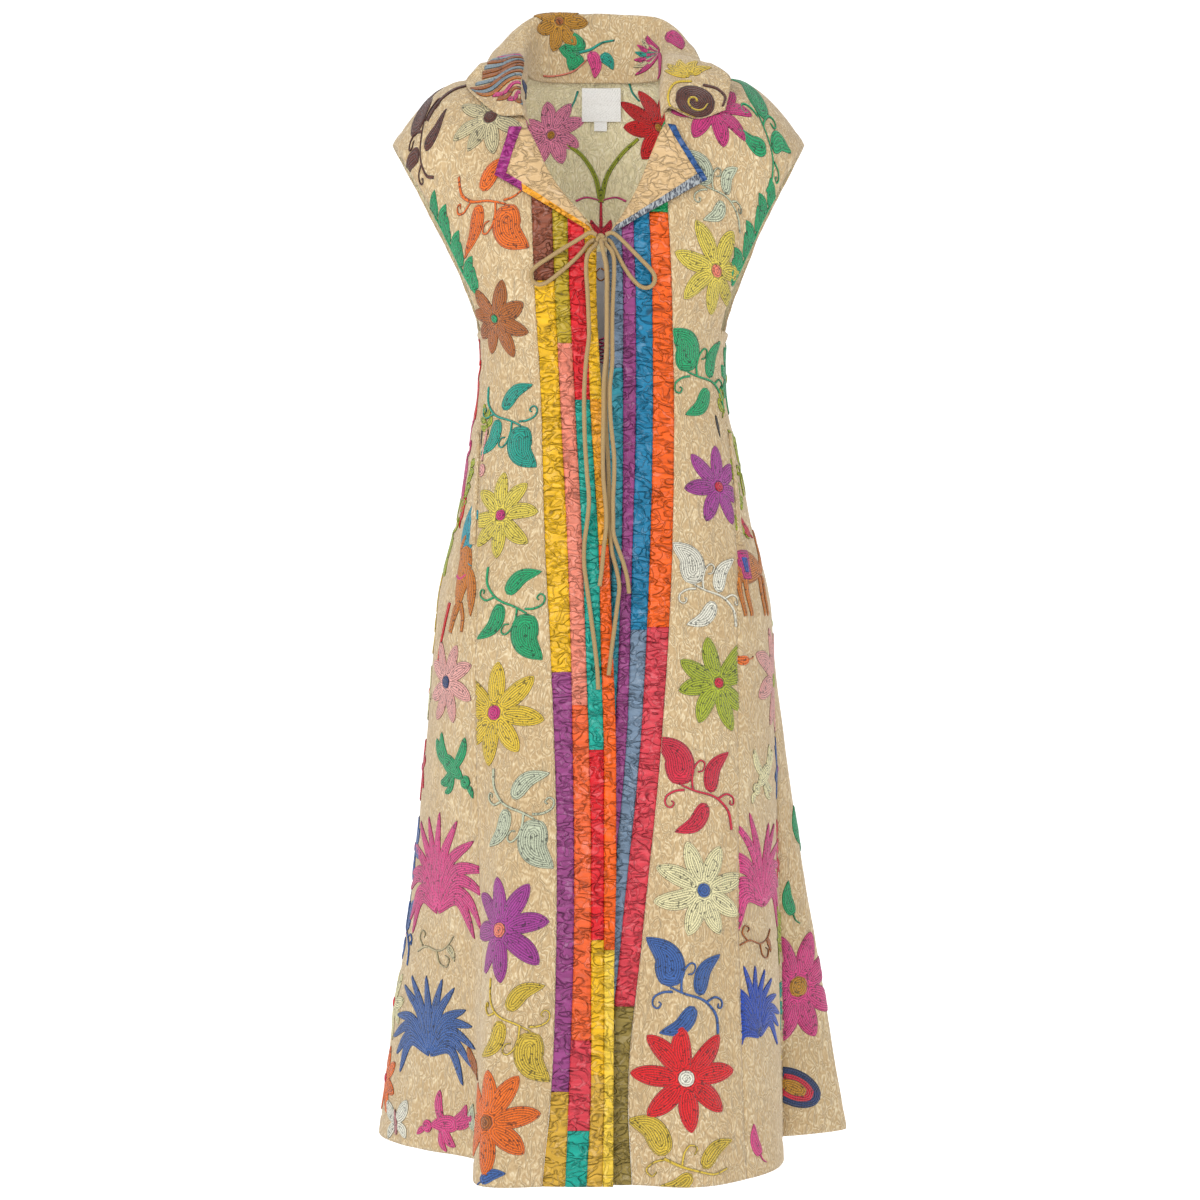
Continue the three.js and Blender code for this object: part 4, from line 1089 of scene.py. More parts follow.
def make_collar():
    steps, count = 44, 34
    lines = [collar_line(-1, k / steps, count) for k in range(steps, 0, -1)]
    lines += [collar_line(1, k / steps, count) for k in range(steps + 1)]
    points = np.array(lines)
    for _ in range(2):
        points[1:-1] = (points[:-2] + 2 * points[1:-1] + points[2:]) / 4
    across = np.gradient(points, axis=1)
    along = np.gradient(points, axis=0)
    normals = -unit(np.cross(across, along))
    edge = np.linspace(1, 0, points.shape[1])[None, :] * COLLAR_WIDTH
    relief = 0.9 * np.exp(-edge / 3) + 0 * points[..., 2]
    shell("collar_cloth", points, normals, [GROUND], relief=relief, nodes=["collar"],
          seam=0.0)
    carriers["collar_under"] = (points - normals * CLOTH / 2, -normals)


# Pocket mouths: their heights, the width of the binding and the radius of the body there
POCKET_TOP = 790
POCKET_FOOT = 665
POCKET_BINDING = 8
POCKET_RADIUS = 140


def make_pockets():
    """The bound edge of each pocket mouth in the front seams."""
    for side in (-1, 1):
        h = np.linspace(POCKET_TOP, POCKET_FOOT, 46)[:, None]
        share = np.linspace(0, 1, 6)[None, :]
        h, share = h + 0 * share, share + 0 * h
        turn = np.degrees(POCKET_BINDING / POCKET_RADIUS) * share
        degrees = seam_angle(side, h) + side * (0.6 + turn)
        points, normals = ring_spots(degrees, h, side > 0)
        relief = 1.2 * np.sin(np.pi * share) + 0.5 * noise(h / 4, share, 17)
        node = "pocket_welt_" + SIDE_NAMES[side]
        shell(node + "_binding", points, normals, [GROUND], low=1.0, high=2.2,
              relief=relief, nodes=[node], seam=0.0)


make_camera()
make_cords()
make_knot()
for side_of in (-1, 1):
    front_panel(side_of)
    side_panel(side_of)
back_panel()
make_strips()
make_lapels()
make_collar()
make_pockets()

for node_name in ("label", "size_tab"):
    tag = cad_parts[node_name]
    tag.data.materials.clear()
    tag.data.materials.append(LABEL)

# Embroidery: motifs are drawn flat as ribbons of chain stitch, and then laid on their cloth
ACROSS = np.array([-1, -0.82, -0.45, 0, 0.45, 0.82, 1])
CROWN = np.array([0, 0.72, 0.95, 1, 0.95, 0.72, 0])
NARROW = np.array([-1, -0.6, 0, 0.6, 1])
NARROW_CROWN = np.array([0, 0.75, 1, 0.75, 0])
STITCH_STEP = 2.4
NARROW_UNDER = 3
SUNK = 0.5
CLEAR_OF_CLOTH = 0.25
CUT_DEPTH = -0.9
draws = np.random.default_rng(7)


def ribbon(line, half_width, yarn, lift=1.3, vein=0.0, step=STITCH_STEP, disc=None):
    """One closed raised ribbon: corners, faces, stitch coordinates and colours, the colours
    darkened towards its rim as painted shade.
    """
    path = smooth_curve(line, step)
    if len(path) < 5:
        path = smooth_curve(line, distances(path)[-1] / 5)
    reach = distances(path)
    t = reach / reach[-1]
    half = half_width(t)
    narrow = half.max() < NARROW_UNDER
    share, crown = (NARROW, NARROW_CROWN) if narrow else (ACROSS, CROWN)
    ahead = unit(np.gradient(path, axis=0))
    side = np.stack([-ahead[:, 1], ahead[:, 0]], -1)
    flat = path[:, None] + side[:, None] * (share[None, :, None] * half[:, None, None])
    inward = (1 - np.abs(share))[None, :] * half[:, None]
    ends = np.minimum(reach, reach[-1] - reach)[:, None] + 0 * inward
    inward = np.minimum(inward, ends + 0.3)
    if disc is not None:
        centre, radius = disc
        inward = np.maximum(0, radius - np.linalg.norm(flat - centre, axis=-1))
    rise = crown[None, :] * np.clip(ends / 1.6, 0.15, 1) ** 0.5
    groove = vein * np.exp(-(share[None, :] / 0.12) ** 2) * np.sin(np.pi * t)[:, None]
    height = (lift + SUNK) * rise * (1 - groove) - SUNK
    tone = 1 + draws.uniform(-0.06, 0.06)
    # Painted shade: the colour darkens towards the ribbon's rim, over a small random tone for
    # each ribbon.
    shade = tone * (0.42 + 0.58 * np.clip(inward / 1.1, 0, 1) ** 0.8)
    colour = np.concatenate([shade[..., None] * np.array(linear(yarn)),
                             np.ones((*shade.shape, 1))], -1)
    lines, columns = inward.shape
    faces = grid_faces(lines, columns)
    i = np.arange(lines - 1) * columns
    under = np.stack([i, i + columns - 1, i + 2 * columns - 1, i + columns], -1)
    top = faces[:, ::-1]
    caps = [list(range(columns)), list(range(lines * columns - 1, (lines - 1) * columns - 1, -1))]
    along = reach[:, None] + 0 * inward
    return {
        "flat": flat.reshape(-1, 2), "height": height.ravel(),
        "stitch": np.stack([along, inward], -1).reshape(-1, 2),
        "colour": colour.reshape(-1, 4), "faces": top.tolist() + under.tolist() + caps,
    }


def petal_shape(width, foot=0.2):
    """Half width along a petal: narrow at its foot, full past the middle, pointed at its tip."""
    def shape(t):
        return 0.35 + width * ((foot + t) / (foot + 1)) ** 0.9 * (1 - t) ** 0.72 * 2.6
    return shape


def leaf_shape(width):
    def shape(t):
        return 0.35 + width * t ** 0.45 * (1 - t) ** 0.85 * 2.3
    return shape


def stem_shape(width=1.7):
    def shape(t):
        return width * (1 - 0.35 * t)
    return shape


def turned(point, degrees):
    angle = math.radians(degrees)
    c, s = math.cos(angle), math.sin(angle)
    x, y = point
    return np.array([c * x - s * y, s * x + c * y])


def disc(centre, radius, yarn, lift=1.9, squash_by=1.0):
    centre = np.array(centre, float)
    line = [centre - [radius, 0], centre, centre + [radius, 0]]

    def shape(t):
        return 0.3 + radius * squash_by * np.sqrt(np.clip(1 - (2 * t - 1) ** 2, 0, 1))
    around = (centre, radius) if squash_by == 1 else None
    return ribbon(line, shape, yarn, lift, step=min(STITCH_STEP, radius / 4), disc=around)


def daisy(yarn, heart, radius=48, petals=8, first=8, wide=0.2, heart_radius=7.5):
    """A flower of pointed petals round a wound centre."""
    made = []
    for k in range(petals):
        angle = first + 360 * k / petals + draws.uniform(-5, 5)
        long = radius * draws.uniform(0.92, 1.05)
        bend = draws.uniform(-0.07, 0.07) * radius
        foot = turned((heart_radius * 0.7, 0), angle)
        middle = turned((long * 0.55, bend), angle)
        made.append(ribbon([foot, middle, turned((long, 0), angle)],
                           petal_shape(radius * wide), yarn, 1.4, 0.25))
    made.append(disc((0, 0), heart_radius, heart, 2.4))
    return made


def leaf(base, tip, width, yarn, bend=0.12, vein=0.45):
    base, tip = np.array(base, float), np.array(tip, float)
    side = np.array([-(tip - base)[1], (tip - base)[0]])
    middle = (base + tip) / 2 + side * bend
    return ribbon([base, middle, tip], leaf_shape(width), yarn, 1.3, vein)


def stem(points, yarn, width=1.7):
    return ribbon(points, stem_shape(width), yarn, 1.5, step=2.0)


def sprig(yarn):
    """A bent stem with three leaves and three curls."""
    return [
        stem([(36, -50), (34, -30), (23, -16), (15, -11), (-3, -5), (-18, 2)], yarn, 2.1),
        leaf((-19, 2), (-41, 54), 17, yarn, -0.22),
        leaf((14, -8), (42, 34), 9.5, yarn, 0.16),
        leaf((8, -19), (-31, -47), 9.5, yarn, 0.16),
        stem([(-6, -5), (-5, 10), (0, 22), (7, 27), (11, 24), (8, 16), (2, 15)], yarn),
        stem([(-15, -3), (-26, -4), (-36, -10), (-37, -18), (-32, -21), (-28, -16), (-31, -14)],
             yarn),
        stem([(23, -15), (34, -11), (42, -16), (41, -23), (37, -22), (38, -18)], yarn),
    ]


def spray(yarn):
    """A full flower of slender petals that rise from its foot and bend over to both sides."""
    made, radius, petals = [], 64, 14
    foot = np.array([0, -0.3 * radius])
    for k in range(petals):
        share = 2 * k / (petals - 1) - 1
        aim = draws.uniform(-4, 4)
        long = radius * (1.15 - 0.35 * share * share) * draws.uniform(0.9, 1.04)
        bend = foot + turned((long * 0.55, 0), 90 - 74 * share + aim)
        tip = foot + turned((long, 0), 90 - 118 * share + aim)
        made.append(ribbon([foot, bend, tip], petal_shape(4.8, 0.3), yarn, 1.4, 0.3))
    return made


def fern(yarn):
    """Pointed leaves close together up one side of a stem."""
    made = [stem([(-2, -58), (0, -20), (2, 20), (0, 56)], yarn, 2.4)]
    for k, y in enumerate((-56, -40, -24, -8, 8, 24, 40)):
        made.append(leaf((-1, y), (17 + 5 * (k % 2), y + 16 - 8 * (k % 2)), 9, yarn, 0.1))
    return made


def bird(yarn, mark="#1d3d33"):
    return [
        ribbon([(-24, 12), (-4, 2), (16, -10)], leaf_shape(11), yarn, 1.6),
        ribbon([(-18, 8), (-34, 20), (-44, 34)], petal_shape(7, 0.5), yarn),
        ribbon([(-18, 10), (-28, 26), (-30, 42)], petal_shape(6, 0.5), yarn),
        ribbon([(0, 2), (12, 20), (16, 38)], petal_shape(7), yarn),
        ribbon([(-4, -2), (-18, -14), (-30, -16)], petal_shape(7), yarn),
        ribbon([(-2, -6), (-10, -22), (-20, -28)], petal_shape(5), yarn),
        disc((19, -13), 8, yarn, 2.0),
        ribbon([(23, -17), (28, -24), (31, -31)], leaf_shape(4), yarn),
        disc((20, -13), 1.8, mark, 2.6),
    ]


def beast(yarn, blanket="#c2307a", inset="#2b4fa8"):
    """A plain four-legged animal with a cloth on its back."""
    made = [
        ribbon([(-24, 0), (0, 3), (24, 0)], leaf_shape(14), yarn, 1.6),
        ribbon([(20, 0), (30, 14), (32, 30)], stem_shape(5), yarn, 1.5),
        ribbon([(29, 31), (37, 30), (46, 26)], leaf_shape(5), yarn, 1.6),
        stem([(-24, 2), (-32, -4), (-33, -16)], yarn),
    ]
    for x in (-19, -11, 12, 20):
        made.append(ribbon([(x, -4), (x - 1, -20), (x + 1, -38)], stem_shape(3.4), yarn, 1.4))
    made.append(ribbon([(-9, 17), (-9, 2), (-9, -9)], stem_shape(10), blanket, 2.2))
    made.append(ribbon([(-9, 12), (-9, 3), (-9, -4)], stem_shape(5.5), inset, 2.8))
    return made


def upright_beast(yarn, strap="#d8407f"):
    """A plain animal that stands up, with a strap round its neck."""
    return [
        ribbon([(0, 52), (3, 24), (0, -6), (-2, -24)], leaf_shape(12), yarn, 1.6),
        ribbon([(-6, 40), (-8, 54), (-4, 64)], petal_shape(4), yarn, 1.6),
        ribbon([(-2, -16), (-9, -32), (-13, -46)], stem_shape(6), yarn),
        ribbon([(3, -14), (8, -30), (7, -46)], stem_shape(3.6), yarn),
        ribbon([(12, 24), (18, 0), (20, -30)], leaf_shape(7), yarn),
        ribbon([(-9, 18), (0, 13), (10, 18)], stem_shape(2.6), strap, 2.2),
    ]


def upright_bar(yarn):
    return [ribbon([(0, 34), (-1, 0), (0, -34)], stem_shape(3.4), yarn)]


def bud(yarn):
    return [stem([(5, 26), (2, 8), (-1, -12)], yarn, 2.4), disc((-1, -22), 7.5, yarn, 1.5)]


def butterfly(yarn, mark="#c98a8a"):
    return [
        ribbon([(2, 2), (16, 14), (26, 26)], petal_shape(10), yarn),
        ribbon([(-2, 2), (-16, 14), (-26, 26)], petal_shape(10), yarn),
        ribbon([(2, -2), (14, -10), (20, -20)], petal_shape(7), yarn),
        ribbon([(-2, -2), (-14, -10), (-20, -20)], petal_shape(7), yarn),
        ribbon([(0, -16), (0, 0), (0, 16)], leaf_shape(3.4), mark, 2.0),
    ]


def ovals(*yarns):
    """Ovals within each other."""
    made = []
    for k, yarn in enumerate(yarns):
        size = 1 - 0.26 * k
        made.append(disc((0, 0), 40 * size, yarn, 1.2 + 0.5 * k, 0.55))
    return made


def tendril(yarn):
    return [
        stem([(-36, 4), (-16, 8), (6, 2), (24, 6), (38, 16)], yarn, 1.5),
        stem([(-20, 8), (-28, 18), (-22, 26), (-15, 22), (-19, 18)], yarn, 1.4),
        stem([(4, 3), (8, -12), (20, -16), (25, -8), (18, -4)], yarn, 1.4),
        leaf((24, 6), (34, -12), 5, yarn),
    ]


def single_leaf(yarn):
    return [leaf((0, -24), (0, 26), 11, yarn), stem([(0, -22), (3, -32), (10, -38)], yarn)]


def leaf_pair(yarn):
    return [
        stem([(-4, -46), (2, -20), (0, 6), (6, 40)], yarn, 1.9),
        leaf((1, -24), (-27, 4), 12, yarn), leaf((1, -16), (29, 8), 12, yarn, -0.12),
        leaf((1, 6), (-23, 34), 12, yarn), leaf((3, 14), (29, 36), 11, yarn, -0.12),
        leaf((5, 34), (9, 66), 11, yarn),
    ]


sewn = {}
trees = {}


def carrier_tree(name):
    if name not in trees:
        points, normals = carriers[name]
        lines, columns = points.shape[:2]
        faces = grid_faces(lines, columns)
        flat = points.reshape(-1, 3)
        out = normals.reshape(-1, 3)
        a, b, d = flat[faces[:, 0]], flat[faces[:, 1]], flat[faces[:, 3]]
        middle = len(faces) // 2
        if np.dot(np.cross(b - a, d - a)[middle], out[faces[middle, 0]]) < 0:
            faces = faces[:, ::-1]
        trees[name] = (BVHTree.FromPolygons(flat.tolist(), faces.tolist()), flat, out)
    return trees[name]


LEAST_FACING = 0.03
FAR_OFF = 500


def at_pixel(name, column, row):
    """The spot of a carrier that the camera sees at a pixel of the photograph."""
    _, flat, out = carrier_tree(name)
    size = PIXEL * (CAMERA_DISTANCE + flat[:, 1]) / CAMERA_DISTANCE
    seen_column = CENTRE_PIXEL + flat[:, 0] / size
    seen_row = IMAGE_MIDDLE - (flat[:, 2] - CAMERA_HEIGHT) / size
    eye = np.array([0, -CAMERA_DISTANCE, CAMERA_HEIGHT])
    facing = np.einsum("ij,ij->i", out, unit(eye - flat))
    off = np.hypot(seen_column - column, seen_row - row)
    off = off + np.where(facing > LEAST_FACING, 0, FAR_OFF)
    return int(np.argmin(off))


def at_share(name, share, h):
    """The spot of a carrier at a share of its width and at a height."""
    points, _ = carriers[name]
    columns = points.shape[1]
    column = int(round(share * (columns - 1)))
    return int(np.argmin(np.abs(points[:, column, 2] - h))) * columns + column


def lay_nearest(name, spot, a, b, height):
    """Lays flat points round a spot on the nearest cloth."""
    tree, flat, out = carrier_tree(name)
    origin, outward = flat[spot], unit(out[spot])
    right = unit(np.cross(np.array([0, 0, 1.0]), outward))
    up = np.cross(outward, right)
    drawn = origin + a[:, None] * right + b[:, None] * up
    placed = np.empty_like(drawn)
    for k, point in enumerate(drawn):
        near, facing, _, _ = tree.find_nearest(point)
        placed[k] = np.array(near) + np.array(facing) * (height[k] + CLEAR_OF_CLOTH)
    return placed


def lay_along(name, spot, a, b, height):
    """Lays flat points by their distances along the cloth, and cuts them at its edges."""
    points, normals = carriers[name]
    lines, columns = points.shape[:2]
    line, column = divmod(spot, columns)
    right = unit(np.cross(np.array([0, 0, 1.0]), normals[:, column]))
    step = np.diff(points[:, column], axis=0)
    sideways = (step * unit(right[1:] + right[:-1])).sum(-1)
    fall = np.sqrt(np.maximum(1e-6, (step ** 2).sum(-1) - sideways ** 2))
    fall = np.concatenate([[0], np.cumsum(fall)])
    shift = np.concatenate([[0], np.cumsum(sideways)])
    rise, shift = fall[line] - fall, shift - shift[line]
    arcs = distances_across(points)
    next_column = min(column + 1, columns - 1)
    ahead = points[line, next_column] - points[line, next_column - 1]
    sense = 1 if np.dot(ahead, right[line]) > 0 else -1
    at = np.interp(b, rise[::-1], np.arange(lines)[::-1])
    low = np.clip(np.floor(at).astype(int), 0, lines - 2)
    part = (at - low)[:, None]
    arc = mix(arcs[low], arcs[low + 1], part)
    target = arc[:, column] + sense * (a - np.interp(at, np.arange(lines), shift))
    k = np.clip((arc < target[:, None]).sum(1) - 1, 0, columns - 2)
    every = np.arange(len(k))
    start, end = arc[every, k], arc[every, k + 1]
    share = np.clip((target - start) / np.maximum(end - start, 1e-6), 0, 1)[:, None]

    def between(grid):
        return mix(mix(grid[low, k], grid[low, k + 1], share),
                   mix(grid[low + 1, k], grid[low + 1, k + 1], share), part)

    cut = (b > rise[0]) | (b < rise[-1]) | (target < 0) | (target > arc[:, -1])
    lifted = np.where(cut, CUT_DEPTH, height + CLEAR_OF_CLOTH)
    return between(points) + unit(between(normals)) * lifted[:, None]


def sew(name, spot, parts, turn=0, scale=1.0, flip=False):
    """Lays a flat motif on the cloth round a spot, and keeps it for that cloth's object."""
    lay = lay_nearest if name.startswith("collar") else lay_along
    kept = sewn.setdefault(name, {"vertices": [], "faces": [], "stitch": [], "colour": [],
                                  "count": 0})
    for part in parts:
        a, b = part["flat"][:, 0] * scale, part["flat"][:, 1] * scale
        if flip:
            a = -a
        a, b = turned((a, b), turn)
        placed = lay(name, spot, a, b, part["height"])
        start = kept["count"]
        if flip:
            faces = [[start + k for k in face[::-1]] for face in part["faces"]]
        else:
            faces = [[start + k for k in face] for face in part["faces"]]
        kept["vertices"].append(placed)
        kept["faces"] += faces
        kept["stitch"].append(part["stitch"] * scale)
        kept["colour"].append(part["colour"])
        kept["count"] += len(placed)


def sew_at(name, column, row, parts, turn=0, scale=1.0, flip=False):
    """Sews a motif where the camera sees a pixel of the photograph."""
    sew(name, at_pixel(name, column, row), parts, turn, scale, flip)


def make_embroidery():
    for name, kept in sewn.items():
        obj = new_object("embroidery_" + name, np.concatenate(kept["vertices"]), kept["faces"],
                         [THREAD])
        set_uv(obj, "stitch", np.concatenate(kept["stitch"]))
        layer = obj.data.color_attributes.new("thread", "FLOAT_COLOR", "POINT")
        layer.data.foreach_set("color", np.concatenate(kept["colour"]).astype(np.float32).ravel())
        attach(obj, "root")


# Motifs that the camera sees: cloth, pixel column and row of the middle, and the motif
YARN = {
    "cream": "#cdc196", "rust": "#b0621f", "lemon": "#e0cb4e", "daffodil": "#e6c334",
    "orchid": "#a83a96", "tangerine": "#f07014", "blush": "#ecaaa2", "raspberry": "#de4388",
    "denim": "#3a62a6", "royal": "#1d4cbc", "emerald": "#16a266", "jade": "#12a38e",
    "sage": "#c6cdb0", "crimson": "#d4223f", "scarlet": "#e4151d", "ivory": "#efe6b2",
    "lime": "#a9b52c", "umber": "#5c2e22", "straw": "#dcbc3c", "magenta": "#cc2a7a",
    "navy": "#243c6e", "white": "#ebe8d6", "ochre": "#c48a22", "camel": "#d07a22",
    "turquoise": "#1b9fb0", "salmon": "#ec7f66", "haze": "#8fa3ae", "mauve": "#fa92ba",
    # The last colour is painted shade for the pocket openings.
    "pocket_slit_shade": "#1b1714",
}
FLOWERS = (
    # cloth, column, row, yarn, heart, radius, petals, first angle, petal width, heart radius
    ("front_left", 491, 118, "cream", "umber", 44, 8, 12, 0.2, 8),
    ("front_left", 495, 316, "rust", "emerald", 44, 8, 20, 0.22, 5),
    ("front_left", 501, 516, "lemon", "magenta", 47, 8, 5, 0.2, 6.5),
    ("front_left", 494, 713, "daffodil", "magenta", 57, 8, -3, 0.2, 8.5),
    ("front_left", 500, 932, "orchid", "salmon", 57, 8, 12, 0.2, 8.5),
    ("front_left", 487, 1121, "tangerine", "rust", 58, 8, 10, 0.2, 8),
    ("side_left", 446, 684, "blush", "navy", 47, 8, 20, 0.2, 7.5),
    ("front_right", 712, 109, "magenta", "umber", 48, 8, 12, 0.2, 7),
    ("front_right", 716, 270, "lemon", "salmon", 52, 7, 18, 0.2, 7),
    ("front_right", 718, 487, "orchid", "crimson", 46, 7, 30, 0.21, 6),
    ("front_right", 718, 682, "lime", "crimson", 52, 8, 10, 0.2, 6),
    ("front_right", 703, 892, "ivory", "denim", 54, 8, 15, 0.2, 8),
    ("front_right", 687, 1080, "scarlet", "white", 57, 8, 0, 0.2, 9),
    ("side_right", 772, 680, "blush", "lime", 60, 8, 15, 0.19, 9),
    ("back", 799, 985, "raspberry", "ochre", 66, 8, 22, 0.22, 13),
    ("back_inside", 552, 135, "mauve", "ochre", 40, 8, 20, 0.24, 5),
    ("back_inside", 658, 127, "scarlet", "ochre", 46, 8, 8, 0.24, 5),
)
SPRIGS = (
    # cloth, column, row, yarn, turn, scale, mirrored
    ("front_left", 490, 205, "tangerine", 185, 1.0, False),
    ("front_left", 507, 424, "jade", 182, 0.92, False),
    ("front_left", 512, 611, "emerald", 178, 0.95, False),
    ("front_left", 517, 818, "sage", 180, 1.0, False),
    ("front_left", 514, 1030, "straw", 178, 0.98, False),
    ("front_left", 419, 140, "umber", 60, 0.75, True),
    ("front_right", 765, 130, "emerald", -30, 0.85, False),
    ("front_right", 718, 184, "sage", 10, 0.74, False),
    ("front_right", 700, 372, "emerald", 8, 0.95, False),
    ("front_right", 707, 588, "white", 0, 0.9, False),
    ("front_right", 697, 785, "crimson", 2, 1.0, False),
    ("front_right", 686, 987, "denim", 0, 0.98, False),
)
OTHERS = (
    # cloth, column, row, turn, scale, mirrored, motif, yarn
    ("front_left", 447, 256, 24, 1.0, False, fern, "emerald"),
    ("front_right", 756, 240, -21, 1.0, True, fern, "emerald"),
    ("front_left", 492, 1178, -70, 0.6, False, single_leaf, "denim"),
    ("side_left", 455, 772, 0, 0.95, False, bird, "emerald"),
    ("side_left", 471, 528, 4, 1.15, False, single_leaf, "turquoise"),
    ("side_left", 475, 520, -25, 0.6, False, single_leaf, "turquoise"),
    ("side_left", 468, 486, -14, 0.55, False, fern, "lime"),
    ("side_left", 464, 508, -10, 0.55, False, single_leaf, "scarlet"),
    ("side_left", 460, 590, 4, 1.0, False, upright_beast, "camel"),
    ("side_left", 444, 632, -14, 1.0, False, upright_bar, "scarlet"),
    ("front_left", 484, 452, 4, 1.0, False, bud, "blush"),
    ("front_left", 486, 421, 30, 0.35, False, leaf_pair, "lime"),
    ("side_left", 437, 884, 4, 1.5, True, spray, "raspberry"),
    ("side_left", 430, 1030, 0, 1.25, False, spray, "denim"),
    ("side_left", 436, 952, 10, 1.0, False, tendril, "cream"),
    ("side_left", 396, 1120, 10, 0.9, False, butterfly, "white"),
    ("side_left", 440, 1125, -20, 0.9, True, bird, "raspberry"),
    ("side_left", 474, 1062, 35, 0.7, False, single_leaf, "rust"),
    ("side_left", 473, 1118, 0, 0.6, False, single_leaf, "sage"),
    ("side_right", 751, 572, 0, 1.35, False, beast, "camel"),
    ("side_right", 742, 656, 80, 0.5, False, single_leaf, "tangerine"),
    ("side_right", 735, 484, 8, 0.5, False, fern, "lime"),
    ("side_right", 738, 520, 30, 0.7, False, single_leaf, "lime"),
    ("side_right", 745, 524, 40, 0.6, False, single_leaf, "crimson"),
    ("side_right", 762, 778, 0, 0.85, True, bird, "ivory"),
    ("side_right", 762, 878, -4, 1.3, True, spray, "raspberry"),
    ("side_right", 756, 1014, 6, 1.05, True, spray, "royal"),
    ("side_right", 758, 946, 0, 0.9, False, tendril, "rust"),
    ("back", 797, 826, 8, 0.9, False, single_leaf, "emerald"),
    ("back", 789, 900, 8, 0.8, False, single_leaf, "emerald"),
    ("side_right", 757, 1140, 10, 0.7, False, single_leaf, "raspberry"),
    ("front_right", 722, 404, -20, 0.42, False, leaf_pair, "lime"),
)


def dress_pockets():
    """Painted shade: a near-black ribbon for the shadow in the opening at the top of each pocket,
    beside the seam.
    """
    for name, column, row in (("front_right", 717, 428), ("front_left", 480, 440)):
        pocket_slit_shade = ribbon([(0, 13), (1, 0), (2, -13)], leaf_shape(2.6), YARN["pocket_slit_shade"], 0.5)
        sew_at(name, column, row, [pocket_slit_shade])


def hem_sprig(yarn):
    """A low sprig, spread sideways, that the hem cuts off."""
    return [
        stem([(-27, 1), (-10, -6), (10, -12), (27, -16), (44, -12)], yarn, 2.1),
        leaf((-25, 4), (-66, 39), 14, yarn, -0.2), leaf((14, -9), (52, 16), 9, yarn, 0.15),
        leaf((2, -14), (-33, -28), 8, yarn, 0.15),
        stem([(-8, -6), (-5, 8), (1, 15), (8, 12), (5, 5)], yarn),
        stem([(-26, 0), (-38, -4), (-46, -12), (-40, -18), (-35, -13)], yarn),
    ]


def dress_gap():
    """The small ring and the row of stitches on the inside of the back, behind the front opening.
    """
    ring = [(0, 7), (5, 3), (5, -4), (0, -8), (-5, -4), (-5, 3), (-1, 7)]
    sew_at("back_inside", 600, 274, [stem(ring, YARN["camel"], 1.2)])
    zigzag = [(4 * (-1) ** k, 17 - 4 * k) for k in range(9)]
    sew_at("back_inside", 602, 350, [stem(zigzag, YARN["magenta"], 1.4)])


def dress_front():
    for name, column, row, yarn, heart, radius, petals, first, wide, heart_radius in FLOWERS:
        parts = daisy(YARN[yarn], YARN[heart], radius, petals, first, wide, heart_radius)
        sew_at(name, column, row, parts)
    for name, column, row, yarn, turn, scale, mirrored in SPRIGS:
        sew_at(name, column, row, sprig(YARN[yarn]), turn, scale, mirrored)
    for name, column, row, turn, scale, mirrored, draw, yarn in OTHERS:
        sew_at(name, column, row, draw(YARN[yarn]), turn, scale, mirrored)
    sew_at("front_right", 690, 1158, hem_sprig(YARN["straw"]))
    sew_at("back", 793, 1086, ovals(YARN["navy"], YARN["crimson"], YARN["ochre"]), -25, 0.95)
    sew_at("front_left", 445, 97, [stem([(-22, -12), (-6, 2), (20, 10)], YARN["umber"], 4)])


BACK_YARNS = ("scarlet", "denim", "daffodil", "raspberry", "emerald", "tangerine", "orchid",
              "ivory", "jade", "lime", "crimson", "royal")


def dress_hidden():
    """Alternate flowers, sprays and sprigs over the back and the sides' far parts."""
    number = 0
    for line, h in enumerate(range(62, 1120, 88)):
        places = [("back", (k + 0.5 * (line % 2) + 0.5) / 7) for k in range(7 - line % 2)]
        if h > UNDERARM:
            places = [("back", (k + 0.9) / 4.8) for k in range(4)]
        elif h > 600:
            places = [("back", (k + 0.5 * (line % 2) + 0.5) / 5) for k in range(5 - line % 2)]
        if h < UNDERARM - 40:
            places.append(("side_left", 0.8 if h > 600 else 0.95))
        if 700 < h < UNDERARM - 40 or h < 430:
            places.append(("side_right", 0.88))
        for name, share in places:
            if name == "back" and share > 0.9 and h < 460:
                continue
            pick = int(draws.integers(12))
            yarn, heart = YARN[BACK_YARNS[pick]], YARN[BACK_YARNS[(pick + 5) % 12]]
            kind = int(draws.integers(4))
            if kind == 0:
                parts = daisy(yarn, heart, 46, 8, number * 17, 0.19, 7)
            elif kind == 1:
                parts = sprig(yarn)
            elif kind == 2 and h < 500:
                parts = spray(yarn)
            else:
                parts = daisy(yarn, heart, 42, 7, 11 * number, 0.21, 6)
            sew(name, at_share(name, share, h), parts, (number % 2) * 180, 0.9, number % 3 == 0)
            number += 1
    for k, share in enumerate((0.28, 0.38, 0.5, 0.62, 0.72)):
        points, _ = carriers["collar_under"]
        spot = int(share * points.shape[0]) * points.shape[1] + int(0.72 * points.shape[1])
        yarn, heart = YARN[BACK_YARNS[3 * k % 12]], YARN[BACK_YARNS[(5 * k + 2) % 12]]
        parts = sprig(yarn) if k % 2 else daisy(yarn, heart, 34, 8, 9 * k, 0.2, 5)
        sew("collar_under", spot, parts, 90 * k, 0.6)


